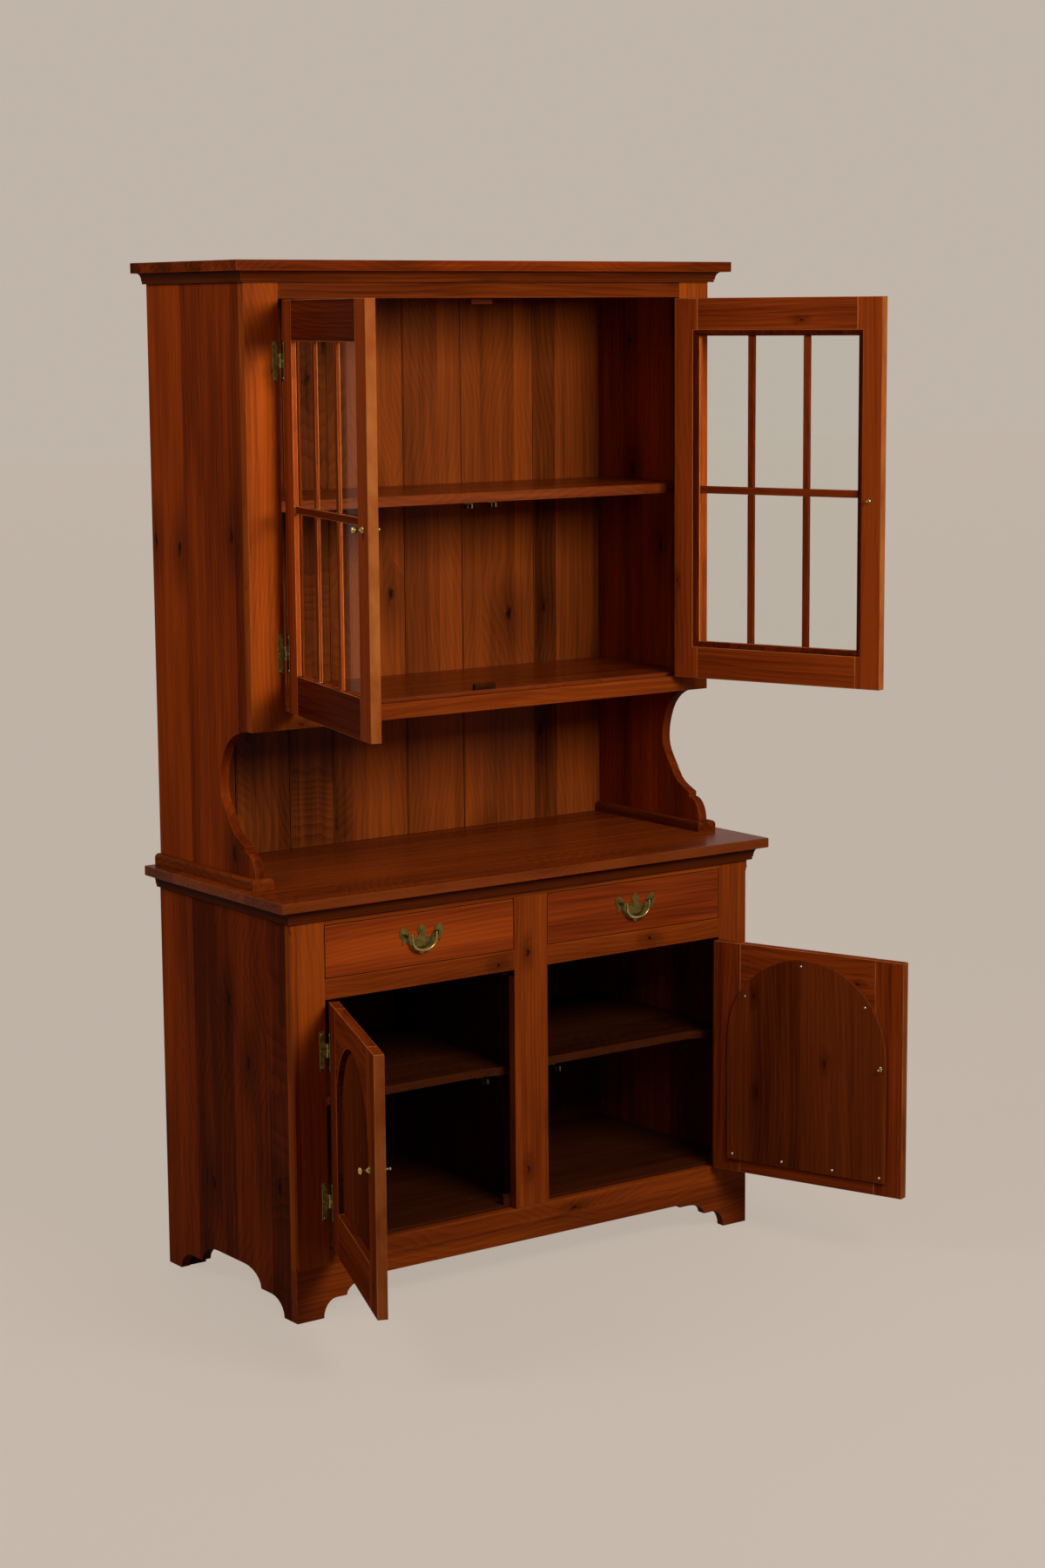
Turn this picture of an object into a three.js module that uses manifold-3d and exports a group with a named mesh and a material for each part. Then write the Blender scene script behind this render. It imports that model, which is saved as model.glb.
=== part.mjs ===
// Step back cupboard in two stacked cases: a glazed upper case on a deeper lower case.
// Millimetres, +Z up, the front faces -Y. The origin is on the floor at the centre of the lower case.
// The four doors stand open as they are drawn, the drawers are shut and the pull bails hang.

import * as THREE from "three";
import { mergeVertices } from "three/addons/utils/BufferGeometryUtils.js";
import Module from "manifold-3d";

const wasm = await Module();
wasm.setup();

// Driving sizes of the whole
const totalHeight = 1981;
const worktopHeight = 814;
const lowerWidth = 1100;
const lowerDepth = 488;
const upperCaseInset = 3;
const upperDepth = 362;
const boardThickness = 20;
const frameThickness = 20;
const turnedGap = 0.3;
const cutOverrun = 2;

// Boards that lie flat
const topBoardThickness = 20;
const topBoardOverhang = 34;
const worktopThickness = 20;
const worktopSideOverhang = 34;
const worktopFrontOverhang = 30;

// Mouldings under the two flat boards
const crownHeight = 20;
const crownReach = 20;
const crownFilletReach = 9;
const crownFilletHeight = 5;
const benchMouldHeight = 25;
const benchMouldReach = 20;
const benchMouldFilletReach = 8;
const benchMouldFilletHeight = 6;
const mouldSteps = 5;

// Face frame of the upper case
const upperStileWidth = 74;
const stepBackHeight = 297;
const upperBottomRailHeight = 31;
const upperTopRailHeight = 50;

// Face frame of the lower case
const lowerStileWidth = 74;
const midStileWidth = 80;
const skirtHeight = 101.5;
const lowerBottomRailHeight = 31;
const drawerRailHeight = 39.5;
const drawerOpeningHeight = 103;
const lowerTopRailHeight = 36.5;
const cornerChamfer = 4;
const cornerChamferLead = 12;
const cornerChamferStop = 14;
const cornerChamferEnd = 0.4;

// Insides of the upper case
const backBoardThickness = 20;
const backGrooveWidth = 4;
const backGrooveDepth = 3;
const backJointShares = [0.1366, 0.2562, 0.3548, 0.5266, 0.6632, 0.8368];
const fixedShelfLip = 7;
const fixedShelfThickness = 20;
const upperShelfRise = 387;
const upperShelfThickness = 20;
const upperShelfNotchDepth = 20;
const upperShelfFrontSpare = 3;
const upperShelfSetback = 34;
const shelfClearance = 0.5;

// Wooden stops that the closed doors meet
const upperStopLength = 50;
const stopReach = 12;
const stopDepth = 9;
const stopGap = 0.2;
const stopLap = 14;
const lowerStopReach = 16;
const lowerStopHeight = 20;

// Scrolled front edge of the upper sides
const scrollDepth = 103;
const scrollStep = 10;
const footRoundHeight = 47;
const footMouldHeight = 21;
const footMouldReach = 13;
const footMouldEdgeRadius = 8;
const scrollCurveShares = [
  [0, 1],
  [0.262, 0.979],
  [0.573, 0.916],
  [0.806, 0.808],
  [0.951, 0.651],
  [1, 0.508],
  [0.954, 0.382],
  [0.768, 0.244],
  [0.561, 0.106],
  [0.348, 0.044],
  [0.136, 0],
];
const scrollSteps = 24;
const footRoundSteps = 8;

// Insides of the lower case
const lowerBackThickness = 14;
const bottomBoardLip = 5.5;
const bottomBoardThickness = 20;
const partitionThickness = 20;
const dustBoardThickness = 12;
const guideHeight = 20;
const lowerShelfAboveKnob = 17;
const lowerShelfThickness = 16;
const lowerShelfSetback = 54;
const shelfEarReach = 12;
const shelfEarWidth = 38;
const shelfEarTip = 12;
const pegRadius = 3;
const pegReach = 12;
const pegFromFront = 45;
const pegFromBack = 40;
const pegFacets = 12;

// Scroll-cut feet, the same outline on the skirt and the sides
const skirtArchHeight = 65;
const skirtFootWidth = 60;
const sideArchHeight = 71;
const sideFootWidth = 48;
const footStepHeight = 36;
const footCurveWidth = 28;
const footStepWidth = 24;
const footRiseWidth = 42;
const footCuspWidth = 22;
const footCuspDrop = 5;
const sideFootCurveWidth = 46;
const sideFootStepWidth = 38;
const sideFootRiseWidth = 61;
const footCurveSteps = 6;
const rearBlockWidth = 39;
const rearBlockThickness = 25;
const rearBlockSetback = 20;

// Doors
const doorBackGap = 0.3;
const doorGap = 2;
const doorMeetingGap = 3;
const pinReach = 3.2;
const pinInset = 1;
const upperDoorStile = 54;
const upperDoorRail = 75;
const barWidth = 15;
const barFrontRecess = 3;
const rabbetDepth = 10;
const rabbetWidth = 11;
const glassThickness = 3;
const lightColumns = 3;
const lightRows = 2;
const lowerDoorStile = 62;
const lowerDoorBottomRail = 85;
const archTopRail = 44;
const panelLap = 27;
const panelBottomLap = 58;
const panelThickness = 6;
const panelFieldRecess = 12;
const panelBevelWidth = 22;
const panelBevelDepth = 5;
const archSteps = 20;

// Angles at which the doors stand open, in degrees
const upperLeftOpen = 104;
const upperRightOpen = 110;
const lowerLeftOpen = 112;
const lowerRightOpen = 110;

// Surface hinges
const hingeLength = 75;
const hingeLeafWidth = 16;
const hingeStripInset = 5.2;
const hingeBarrelLength = 27;
const hingeLeafThickness = 1.6;
const hingeBarrelRadius = 3;
const hingePinRadius = 1.4;
const hingeRunningGap = 0.4;
const upperHingeInset = 76;
const lowerHingeInset = 58;
const hingeFacets = 16;
const hingeLeafSides = 2;

// Door knobs with their through bolts
const knobHeight = 22;
const knobHeadRadius = 7;
const knobNeckRadius = 3.5;
const knobBaseRadius = 6.5;
const knobBaseHeight = 3;
const boltRadius = 2.6;
const boltHoleRadius = 3;
const studRadius = 4.5;
const studHeight = 3;
const knobFacets = 20;
const upperKnobFromEdge = 27;
const upperKnobBelowShelf = 22;
const lowerKnobFromEdge = 46;
const lowerKnobBelowArch = 20;

// Drawers
const drawerGap = 1.5;
const drawerBackClearance = 30;
const drawerWallThickness = 12;
const drawerBottomThickness = 6;
const drawerBottomLift = 5;
const drawerBoxHeight = 88;
const drawerRunningGap = 0.4;
const drawerSideGap = 1;

// Drawer pulls
const pullPostSpacing = 70;
const pullPostLift = 61;
const pullPlateWidth = 100;
const pullPlateThickness = 2;
const pullPlateAbovePosts = 19;
const pullPlateBelowPosts = 42;
const pullPostRadius = 4.5;
const pullPostReach = 15;
const pullPivotReach = 11;
const pullBoltRadius = 2.2;
const pullHoleRadius = 2.6;
const pullBoltStickOut = 4;
const pullSocketDepth = 3;
const pullSocketRadius = 1.9;
const bailPinRadius = 1.5;
const bailPinPlay = 0.5;
const bailDrop = 30;
const bailEndRadius = 2.2;
const bailMiddleRadius = 3.6;
const bailSteps = 20;
const bailSides = 8;
const pullFacets = 16;
const pullUpperShares = [
  [0.92, -0.12],
  [1, -0.01],
  [1, 0.32],
  [0.96, 0.63],
  [0.86, 0.79],
  [0.74, 0.68],
  [0.62, 0.42],
  [0.54, 0.05],
  [0.46, -0.12],
  [0.36, -0.19],
  [0.25, -0.18],
  [0.21, -0.08],
  [0.15, -0.07],
  [0.14, 0.05],
  [0.19, 0.26],
  [0.19, 0.47],
  [0.12, 0.66],
  [0.09, 0.84],
  [0, 1],
];
const pullLowerShares = [
  [0.86, -0.17],
  [0.88, -0.29],
  [0.87, -0.43],
  [0.82, -0.45],
  [0.77, -0.33],
  [0.7, -0.31],
  [0.62, -0.46],
  [0.48, -0.64],
  [0.28, -0.77],
  [0.11, -0.79],
  [0.14, -0.87],
  [0.06, -0.92],
  [0, -1],
];

// Places that follow from the sizes above
const backY = lowerDepth / 2;
const lowerFrontY = -lowerDepth / 2;
const upperFrontY = backY - upperDepth;
const lowerHalf = lowerWidth / 2;
const upperHalf = lowerHalf - upperCaseInset;
const lowerInnerHalf = lowerHalf - boardThickness;
const upperInnerHalf = upperHalf - boardThickness;
const lowerFrameBackY = lowerFrontY + frameThickness;
const upperFrameBackY = upperFrontY + frameThickness;
const worktopUnder = worktopHeight - worktopThickness;
const topBoardUnder = totalHeight - topBoardThickness;
const upperCaseBottom = worktopHeight + stepBackHeight;
const upperOpeningBottom = upperCaseBottom + upperBottomRailHeight;
const upperOpeningTop = topBoardUnder - upperTopRailHeight;
const footRoundTop = worktopHeight + footMouldHeight + footRoundHeight;
const scrollFoot = footRoundTop + scrollStep;
const upperOpeningHalf = upperHalf - upperStileWidth;
const lowerOpeningBottom = skirtHeight + lowerBottomRailHeight;
const drawerOpeningTop = worktopUnder - lowerTopRailHeight;
const drawerOpeningBottom = drawerOpeningTop - drawerOpeningHeight;
const lowerOpeningTop = drawerOpeningBottom - drawerRailHeight;
const cornerChamferTop = worktopUnder - benchMouldHeight - cornerChamferStop;
const lowerOpeningOuter = lowerHalf - lowerStileWidth;
const midStileHalf = midStileWidth / 2;
const bottomBoardTop = lowerOpeningBottom + bottomBoardLip;
const bottomBoardUnder = bottomBoardTop - bottomBoardThickness;
const doorThickness = frameThickness - doorBackGap;
const lowerDoorWidth = lowerOpeningOuter - midStileHalf - 2 * doorGap;
const archRadius = lowerDoorWidth / 2 - lowerDoorStile;
const archCentreHeight = lowerOpeningTop - doorGap - archTopRail - archRadius;
const lowerKnobHeight = archCentreHeight - lowerKnobBelowArch;
const lowerShelfTop = lowerKnobHeight + lowerShelfAboveKnob;
const fixedShelfTop = upperOpeningBottom + fixedShelfLip;
const upperShelfTop = fixedShelfTop + upperShelfRise;
const upperKnobHeight = upperShelfTop - upperKnobBelowShelf;
const pullPostHeight = drawerOpeningBottom + pullPostLift;
const lowerBackFrontY = backY - lowerBackThickness;
const upperBackFrontY = backY - backBoardThickness;
const partitionHalf = partitionThickness / 2;
const dustBoardUnder = drawerOpeningBottom - dustBoardThickness;
const lowerShelfFront = lowerFrontY + lowerShelfSetback;
const upperShelfFront = upperFrontY + upperShelfSetback;
const lowerPegHeight = lowerShelfTop - lowerShelfThickness - pegRadius;
const upperPegHeight = upperShelfTop - upperShelfThickness - pegRadius;

// Finishes as they show on the object
const paint = {
  sideWood: new THREE.MeshStandardMaterial({ color: 0x5e2408, roughness: 0.38, metalness: 0 }),
  frameWood: new THREE.MeshStandardMaterial({ color: 0x8a4416, roughness: 0.38, metalness: 0 }),
  backWood: new THREE.MeshStandardMaterial({ color: 0x743410, roughness: 0.45, metalness: 0 }),
  topWood: new THREE.MeshStandardMaterial({ color: 0x6a2c0e, roughness: 0.3, metalness: 0 }),
  innerWood: new THREE.MeshStandardMaterial({ color: 0x6e3c1c, roughness: 0.6, metalness: 0 }),
  brass: new THREE.MeshStandardMaterial({ color: 0x9a8550, roughness: 0.35, metalness: 1 }),
  glass: new THREE.MeshStandardMaterial({ color: 0xdfe6e2, roughness: 0.05, metalness: 0 }),
};

const cupboard = new THREE.Group();

// A closed solid from a geometry, ready to be joined or cut
function solidOf(geometry) {
  const bare = geometry.clone();
  bare.deleteAttribute("normal");
  bare.deleteAttribute("uv");
  const joined = mergeVertices(bare);
  return new wasm.Manifold(
    new wasm.Mesh({
      numProp: 3,
      vertProperties: Float32Array.from(joined.attributes.position.array),
      triVerts: Uint32Array.from(joined.index.array),
    }),
  );
}

// The geometry of a joined or cut solid
function geometryOf(solid) {
  const mesh = solid.getMesh();
  const geometry = new THREE.BufferGeometry();
  geometry.setAttribute("position", new THREE.BufferAttribute(mesh.vertProperties, mesh.numProp));
  geometry.setIndex(new THREE.BufferAttribute(mesh.triVerts, 1));
  geometry.computeVertexNormals();
  return geometry;
}

function addPiece(parent, name, geometry, material) {
  const mesh = new THREE.Mesh(geometry, material);
  mesh.name = name;
  parent.add(mesh);
  return mesh;
}

// A box between two corners
function boxBetween([x0, y0, z0], [x1, y1, z1]) {
  const geometry = new THREE.BoxGeometry(x1 - x0, y1 - y0, z1 - z0);
  geometry.translate((x0 + x1) / 2, (y0 + y1) / 2, (z0 + z1) / 2);
  return geometry;
}

// A box between two corners given in any order
function boxAcross(a, b) {
  const low = a.map((value, i) => Math.min(value, b[i]));
  const high = a.map((value, i) => Math.max(value, b[i]));
  return boxBetween(low, high);
}

// An outline of [x, z] points as a slab from y0 to y1
function slabAlongY(points, y0, y1) {
  const shape = new THREE.Shape(points.map(([x, z]) => new THREE.Vector2(x, z)));
  const geometry = new THREE.ExtrudeGeometry(shape, { depth: y1 - y0, bevelEnabled: false });
  geometry.rotateX(Math.PI / 2);
  geometry.translate(0, y1, 0);
  return geometry;
}

// An outline of [y, z] points as a slab from x0 to x1
function slabAlongX(points, x0, x1) {
  const geometry = slabAlongY(points.map(([y, z]) => [y, z]), -x1, -x0);
  geometry.rotateZ(Math.PI / 2);
  return geometry;
}

// A slab along Y with openings cut right through it
function piercedSlab(points, y0, y1, holes) {
  const slab = solidOf(slabAlongY(points, y0, y1));
  const cuts = holes.map((hole) => solidOf(slabAlongY(hole, y0 - cutOverrun, y1 + cutOverrun)));
  return cuts.reduce((rest, cut) => rest.subtract(cut), slab);
}

function slabBetweenX(points, a, b) {
  return slabAlongX(points, Math.min(a, b), Math.max(a, b));
}

// An outline of [x, y] points as a slab from z0 to z1
function slabAlongZ(points, z0, z1) {
  const shape = new THREE.Shape(points.map(([x, y]) => new THREE.Vector2(x, y)));
  const geometry = new THREE.ExtrudeGeometry(shape, { depth: z1 - z0, bevelEnabled: false });
  geometry.translate(0, 0, z0);
  return geometry;
}

function rectangle(x0, x1, z0, z1) {
  return [[x0, z0], [x1, z0], [x1, z1], [x0, z1]];
}

function circle(x, z, radius, facets) {
  return Array.from({ length: facets }, (_, i) => {
    const turn = (2 * Math.PI * i) / facets;
    return [x + radius * Math.cos(turn), z + radius * Math.sin(turn)];
  });
}

// A round bar along Z from z0 to z1
function barAlongZ(x, y, radius, z0, z1, facets) {
  const geometry = new THREE.CylinderGeometry(radius, radius, z1 - z0, facets);
  geometry.rotateX(Math.PI / 2);
  geometry.translate(x, y, (z0 + z1) / 2);
  return geometry;
}

// A round bar along Y from y0 to y1
function barAlongY(x, z, radius, y0, y1, facets) {
  const geometry = new THREE.CylinderGeometry(radius, radius, y1 - y0, facets);
  geometry.translate(x, (y0 + y1) / 2, z);
  return geometry;
}

// A shelf peg along X, with a flat of its round on top
function peg(a, b, y, z) {
  const reach = pegRadius / Math.cos(Math.PI / pegFacets);
  const geometry = new THREE.CylinderGeometry(reach, reach, Math.abs(b - a), pegFacets);
  geometry.rotateY(Math.PI / pegFacets);
  geometry.rotateZ(Math.PI / 2);
  geometry.translate((a + b) / 2, y, z);
  return geometry;
}

// A moulding profile of [reach, height] points carried round a path of [x, y] corners, with mitred
// corners. The reach goes to the left of the path.
function mitredMoulding(path, profile, baseZ) {
  const across = (a, b) => {
    const length = Math.hypot(b[0] - a[0], b[1] - a[1]);
    return [-(b[1] - a[1]) / length, (b[0] - a[0]) / length];
  };
  const positions = [];
  path.forEach((corner, i) => {
    const before = i > 0 ? across(path[i - 1], corner) : [0, 0];
    const after = i < path.length - 1 ? across(corner, path[i + 1]) : [0, 0];
    profile.forEach(([reach, height]) => {
      positions.push(
        corner[0] + reach * (before[0] + after[0]),
        corner[1] + reach * (before[1] + after[1]),
        baseZ + height,
      );
    });
  });
  const count = profile.length;
  const index = [];
  for (let i = 0; i + 1 < path.length; i += 1) {
    for (let j = 0; j < count; j += 1) {
      const a = i * count + j;
      const b = i * count + ((j + 1) % count);
      index.push(a, b, a + count, b, b + count, a + count);
    }
  }
  const caps = THREE.ShapeUtils.triangulateShape(profile.map(([x, y]) => new THREE.Vector2(x, y)), []);
  const last = (path.length - 1) * count;
  caps.forEach(([a, b, c]) => {
    index.push(a, c, b);
    index.push(last + a, last + b, last + c);
  });
  const geometry = new THREE.BufferGeometry();
  geometry.setAttribute("position", new THREE.BufferAttribute(new Float32Array(positions), 3));
  geometry.setIndex(index);
  return facingOut(geometry);
}

// The same geometry with its faces turned outward
function facingOut(geometry) {
  const at = geometry.attributes.position;
  const index = geometry.index.array;
  const a = new THREE.Vector3();
  const b = new THREE.Vector3();
  const c = new THREE.Vector3();
  let volume = 0;
  for (let i = 0; i < index.length; i += 3) {
    a.fromBufferAttribute(at, index[i]);
    b.fromBufferAttribute(at, index[i + 1]);
    c.fromBufferAttribute(at, index[i + 2]);
    volume += a.dot(b.cross(c));
  }
  if (volume < 0) {
    const turned = Array.from(index);
    for (let i = 0; i < turned.length; i += 3) {
      [turned[i + 1], turned[i + 2]] = [turned[i + 2], turned[i + 1]];
    }
    geometry.setIndex(turned);
  }
  geometry.computeVertexNormals();
  return geometry;
}

// Points of a curve through shares of a width and a height
function curveThrough(shares, steps, place) {
  const curve = new THREE.SplineCurve(shares.map(([u, v]) => new THREE.Vector2(u, v)));
  return curve.getPoints(steps).map((point) => place(point.x, point.y));
}

// Half of the foot outline, from the floor inward to the arch, as [distance from the end, height]
function footOutline(footWidth, curveWidth, stepWidth, riseWidth, archHeight, cuspWidth, cuspDrop) {
  const points = [];
  for (let i = 0; i <= footCurveSteps; i += 1) {
    const turn = (Math.PI / 2) * (i / footCurveSteps);
    points.push([footWidth + curveWidth * (1 - Math.cos(turn)), footStepHeight * Math.sin(turn)]);
  }
  const stepEnd = footWidth + curveWidth + stepWidth;
  const riseTop = archHeight - cuspDrop;
  for (let i = 0; i <= footCurveSteps; i += 1) {
    const turn = (Math.PI / 2) * (i / footCurveSteps);
    points.push([
      stepEnd + riseWidth * (1 - Math.cos(turn)),
      footStepHeight + (riseTop - footStepHeight) * Math.sin(turn),
    ]);
  }
  if (cuspDrop > 0) {
    const cuspEnd = stepEnd + riseWidth + cuspWidth;
    points.push([cuspEnd, riseTop]);
    points.push([cuspEnd, archHeight]);
  }
  return points;
}

// Lower case

function lowerPegPlaces() {
  return [lowerShelfFront + pegFromFront, lowerBackFrontY - pegFromBack];
}

function addLowerSides() {
  const foot = footOutline(
    sideFootWidth,
    sideFootCurveWidth,
    sideFootStepWidth,
    sideFootRiseWidth,
    sideArchHeight,
    0,
    0,
  );
  const front = foot.map(([along, height]) => [lowerFrontY + along, height]);
  const rear = foot.map(([along, height]) => [backY - along, height]).reverse();
  const outline = [
    [lowerFrameBackY, worktopUnder],
    [lowerFrameBackY, 0],
    ...front,
    ...rear,
    [backY, 0],
    [backY, worktopUnder],
  ];
  [["lower_left_side", -1], ["lower_right_side", 1]].forEach(([name, side]) => {
    let board = solidOf(slabBetweenX(outline, side * lowerInnerHalf, side * lowerHalf));
    lowerPegPlaces().forEach((y) => {
      board = board.add(solidOf(peg(side * lowerHalf, side * (lowerInnerHalf - pegReach), y, lowerPegHeight)));
    });
    addPiece(cupboard, name, geometryOf(board), paint.sideWood);
  });
}

function addRearFootBlocks() {
  const back = backY - rearBlockSetback;
  [["rear_left_foot_block", -1], ["rear_right_foot_block", 1]].forEach(([name, side]) => {
    const block = boxAcross(
      [side * (lowerInnerHalf - rearBlockWidth), back - rearBlockThickness, 0],
      [side * lowerInnerHalf, back, bottomBoardUnder],
    );
    addPiece(cupboard, name, block, paint.innerWood);
  });
}

// A long wedge that takes the stopped chamfer off one outer corner
function cornerCutter(side) {
  const x = side * lowerHalf;
  const low = skirtHeight;
  const ring = (z, size) => [
    [x + side * cutOverrun, lowerFrontY - cutOverrun, z],
    [x - side * size, lowerFrontY - cutOverrun, z],
    [x - side * size, lowerFrontY, z],
    [x, lowerFrontY + size, z],
    [x + side * cutOverrun, lowerFrontY + size, z],
  ];
  const rings = [
    ring(low, cornerChamferEnd),
    ring(low + cornerChamferLead, cornerChamfer),
    ring(cornerChamferTop - cornerChamferLead, cornerChamfer),
    ring(cornerChamferTop, cornerChamferEnd),
  ];
  return loftRings(rings);
}

// A closed solid through rings of the same number of points
function loftRings(rings) {
  const count = rings[0].length;
  const index = [];
  for (let i = 0; i + 1 < rings.length; i += 1) {
    for (let j = 0; j < count; j += 1) {
      const a = i * count + j;
      const b = i * count + ((j + 1) % count);
      index.push(a, b, a + count, b, b + count, a + count);
    }
  }
  const last = (rings.length - 1) * count;
  for (let j = 1; j + 1 < count; j += 1) {
    index.push(0, j + 1, j);
    index.push(last, last + j, last + j + 1);
  }
  const geometry = new THREE.BufferGeometry();
  geometry.setAttribute("position", new THREE.BufferAttribute(new Float32Array(rings.flat(2)), 3));
  geometry.setIndex(index);
  return facingOut(geometry);
}

function addLowerFaceFrame() {
  const outline = rectangle(-lowerHalf, lowerHalf, skirtHeight, worktopUnder);
  const holes = [];
  [-1, 1].forEach((side) => {
    const inner = side * midStileHalf;
    const outer = side * lowerOpeningOuter;
    holes.push(rectangle(Math.min(inner, outer), Math.max(inner, outer), lowerOpeningBottom, lowerOpeningTop));
    holes.push(rectangle(Math.min(inner, outer), Math.max(inner, outer), drawerOpeningBottom, drawerOpeningTop));
  });
  let frame = piercedSlab(outline, lowerFrontY, lowerFrameBackY, holes);
  [-1, 1].forEach((side) => {
    frame = frame.subtract(solidOf(cornerCutter(side)));
    const stop = boxAcross(
      [side * (midStileHalf - stopLap), lowerFrameBackY + stopGap, lowerOpeningTop - stopReach],
      [side * (midStileHalf + lowerStopReach), lowerFrameBackY + stopDepth, lowerOpeningTop],
    );
    const stopRoot = boxAcross(
      [side * (midStileHalf - stopLap), lowerFrameBackY - stopGap, lowerOpeningTop - stopReach],
      [side * midStileHalf, lowerFrameBackY + stopDepth, lowerOpeningTop],
    );
    frame = frame.add(solidOf(stopRoot)).add(solidOf(stop));
  });
  addPiece(cupboard, "lower_face_frame", geometryOf(frame), paint.frameWood);
}

function addSkirt() {
  const foot = footOutline(
    skirtFootWidth,
    footCurveWidth,
    footStepWidth,
    footRiseWidth,
    skirtArchHeight,
    footCuspWidth,
    footCuspDrop,
  );
  const left = foot.map(([along, height]) => [-lowerHalf + along, height]);
  const right = foot.map(([along, height]) => [lowerHalf - along, height]).reverse();
  const outline = [
    [-lowerHalf, skirtHeight],
    [-lowerHalf, 0],
    ...left,
    ...right,
    [lowerHalf, 0],
    [lowerHalf, skirtHeight],
  ];
  addPiece(cupboard, "front_skirt", slabAlongY(outline, lowerFrontY, lowerFrameBackY), paint.frameWood);
}

function addLowerBoards() {
  addPiece(
    cupboard,
    "lower_back",
    boxBetween([-lowerInnerHalf, lowerBackFrontY, bottomBoardUnder], [lowerInnerHalf, backY, worktopUnder]),
    paint.innerWood,
  );
  const bottomPieces = [
    boxBetween([-lowerInnerHalf, lowerFrameBackY, bottomBoardUnder], [lowerInnerHalf, lowerBackFrontY, bottomBoardTop]),
  ];
  [-1, 1].forEach((side) => {
    bottomPieces.push(
      boxAcross(
        [side * partitionHalf, lowerFrameBackY + stopGap, bottomBoardTop - bottomBoardThickness / 2],
        [side * (midStileHalf + lowerStopReach), lowerFrameBackY + stopDepth, bottomBoardTop + lowerStopHeight],
      ),
    );
  });
  const bottom = bottomPieces.map(solidOf).reduce((sum, piece) => sum.add(piece));
  addPiece(cupboard, "bottom_board", geometryOf(bottom), paint.backWood);
  let partition = solidOf(
    boxBetween([-partitionHalf, lowerFrameBackY, bottomBoardTop], [partitionHalf, lowerBackFrontY, dustBoardUnder]),
  );
  const pegEnd = partitionHalf + pegReach;
  lowerPegPlaces().forEach((y) => {
    partition = partition.add(solidOf(peg(-pegEnd, pegEnd, y, lowerPegHeight)));
  });
  addPiece(cupboard, "partition", geometryOf(partition), paint.innerWood);
  addPiece(
    cupboard,
    "worktop",
    boxBetween(
      [-lowerHalf - worktopSideOverhang, lowerFrontY - worktopFrontOverhang, worktopUnder],
      [lowerHalf + worktopSideOverhang, backY, worktopHeight],
    ),
    paint.topWood,
  );
}

// The board under the drawers, with the guide strips that keep each drawer straight
function addDustBoard() {
  const low = dustBoardUnder;
  const top = drawerOpeningBottom;
  const high = drawerOpeningBottom + guideHeight;
  const right = [
    [midStileHalf, high],
    [midStileHalf, top],
    [lowerOpeningOuter, top],
    [lowerOpeningOuter, high],
    [lowerInnerHalf, high],
    [lowerInnerHalf, low],
  ];
  const left = right.map(([x, z]) => [-x, z]).reverse();
  addPiece(cupboard, "dust_board", slabAlongY([...right, ...left], lowerFrameBackY, lowerBackFrontY), paint.innerWood);
}

// A lower shelf, its front edge flaring forward to meet the stile and the partition
function addLowerShelf(name, side) {
  const inner = partitionHalf + shelfClearance;
  const outer = lowerInnerHalf - shelfClearance;
  const back = lowerBackFrontY - shelfClearance;
  const earFront = lowerShelfFront - shelfEarReach;
  const right = [
    [inner, back],
    [inner, earFront],
    [midStileHalf + shelfEarTip, earFront],
    [midStileHalf + shelfEarWidth, lowerShelfFront],
    [lowerOpeningOuter - shelfEarWidth, lowerShelfFront],
    [lowerOpeningOuter - shelfEarTip, earFront],
    [outer, earFront],
    [outer, back],
  ];
  const outline = hung(side, right);
  addPiece(
    cupboard,
    name,
    slabAlongZ(outline, lowerShelfTop - lowerShelfThickness, lowerShelfTop),
    paint.innerWood,
  );
}

// An ovolo over a plain fillet, as [reach, height] points from the bottom edge up
function ovoloProfile(height, reach, filletReach, filletHeight) {
  const points = [[0, 0], [filletReach, 0], [filletReach, filletHeight]];
  for (let i = 0; i <= mouldSteps; i += 1) {
    const turn = (Math.PI / 2) * (i / mouldSteps);
    points.push([
      reach - (reach - filletReach) * Math.cos(turn) * (1 - filletHeight / height / 2),
      filletHeight + (height - filletHeight) * Math.sin(turn),
    ]);
  }
  points.push([0, height]);
  return points;
}

function roundCase(half, front) {
  return [[half, backY], [half, front], [-half, front], [-half, backY]];
}

function addWorktopMoulding() {
  const profile = ovoloProfile(benchMouldHeight, benchMouldReach, benchMouldFilletReach, benchMouldFilletHeight);
  const geometry = mitredMoulding(roundCase(lowerHalf, lowerFrontY), profile, worktopUnder - benchMouldHeight);
  addPiece(cupboard, "worktop_moulding", geometry, paint.frameWood);
}

// Upper case

function addCrownMoulding() {
  const profile = ovoloProfile(crownHeight, crownReach, crownFilletReach, crownFilletHeight);
  const geometry = mitredMoulding(roundCase(upperHalf, upperFrontY), profile, topBoardUnder - crownHeight);
  addPiece(cupboard, "crown_moulding", geometry, paint.frameWood);
}

function addTopBoard() {
  addPiece(
    cupboard,
    "top_board",
    boxBetween(
      [-upperHalf - topBoardOverhang, upperFrontY - topBoardOverhang, topBoardUnder],
      [upperHalf + topBoardOverhang, backY, totalHeight],
    ),
    paint.sideWood,
  );
}

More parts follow.
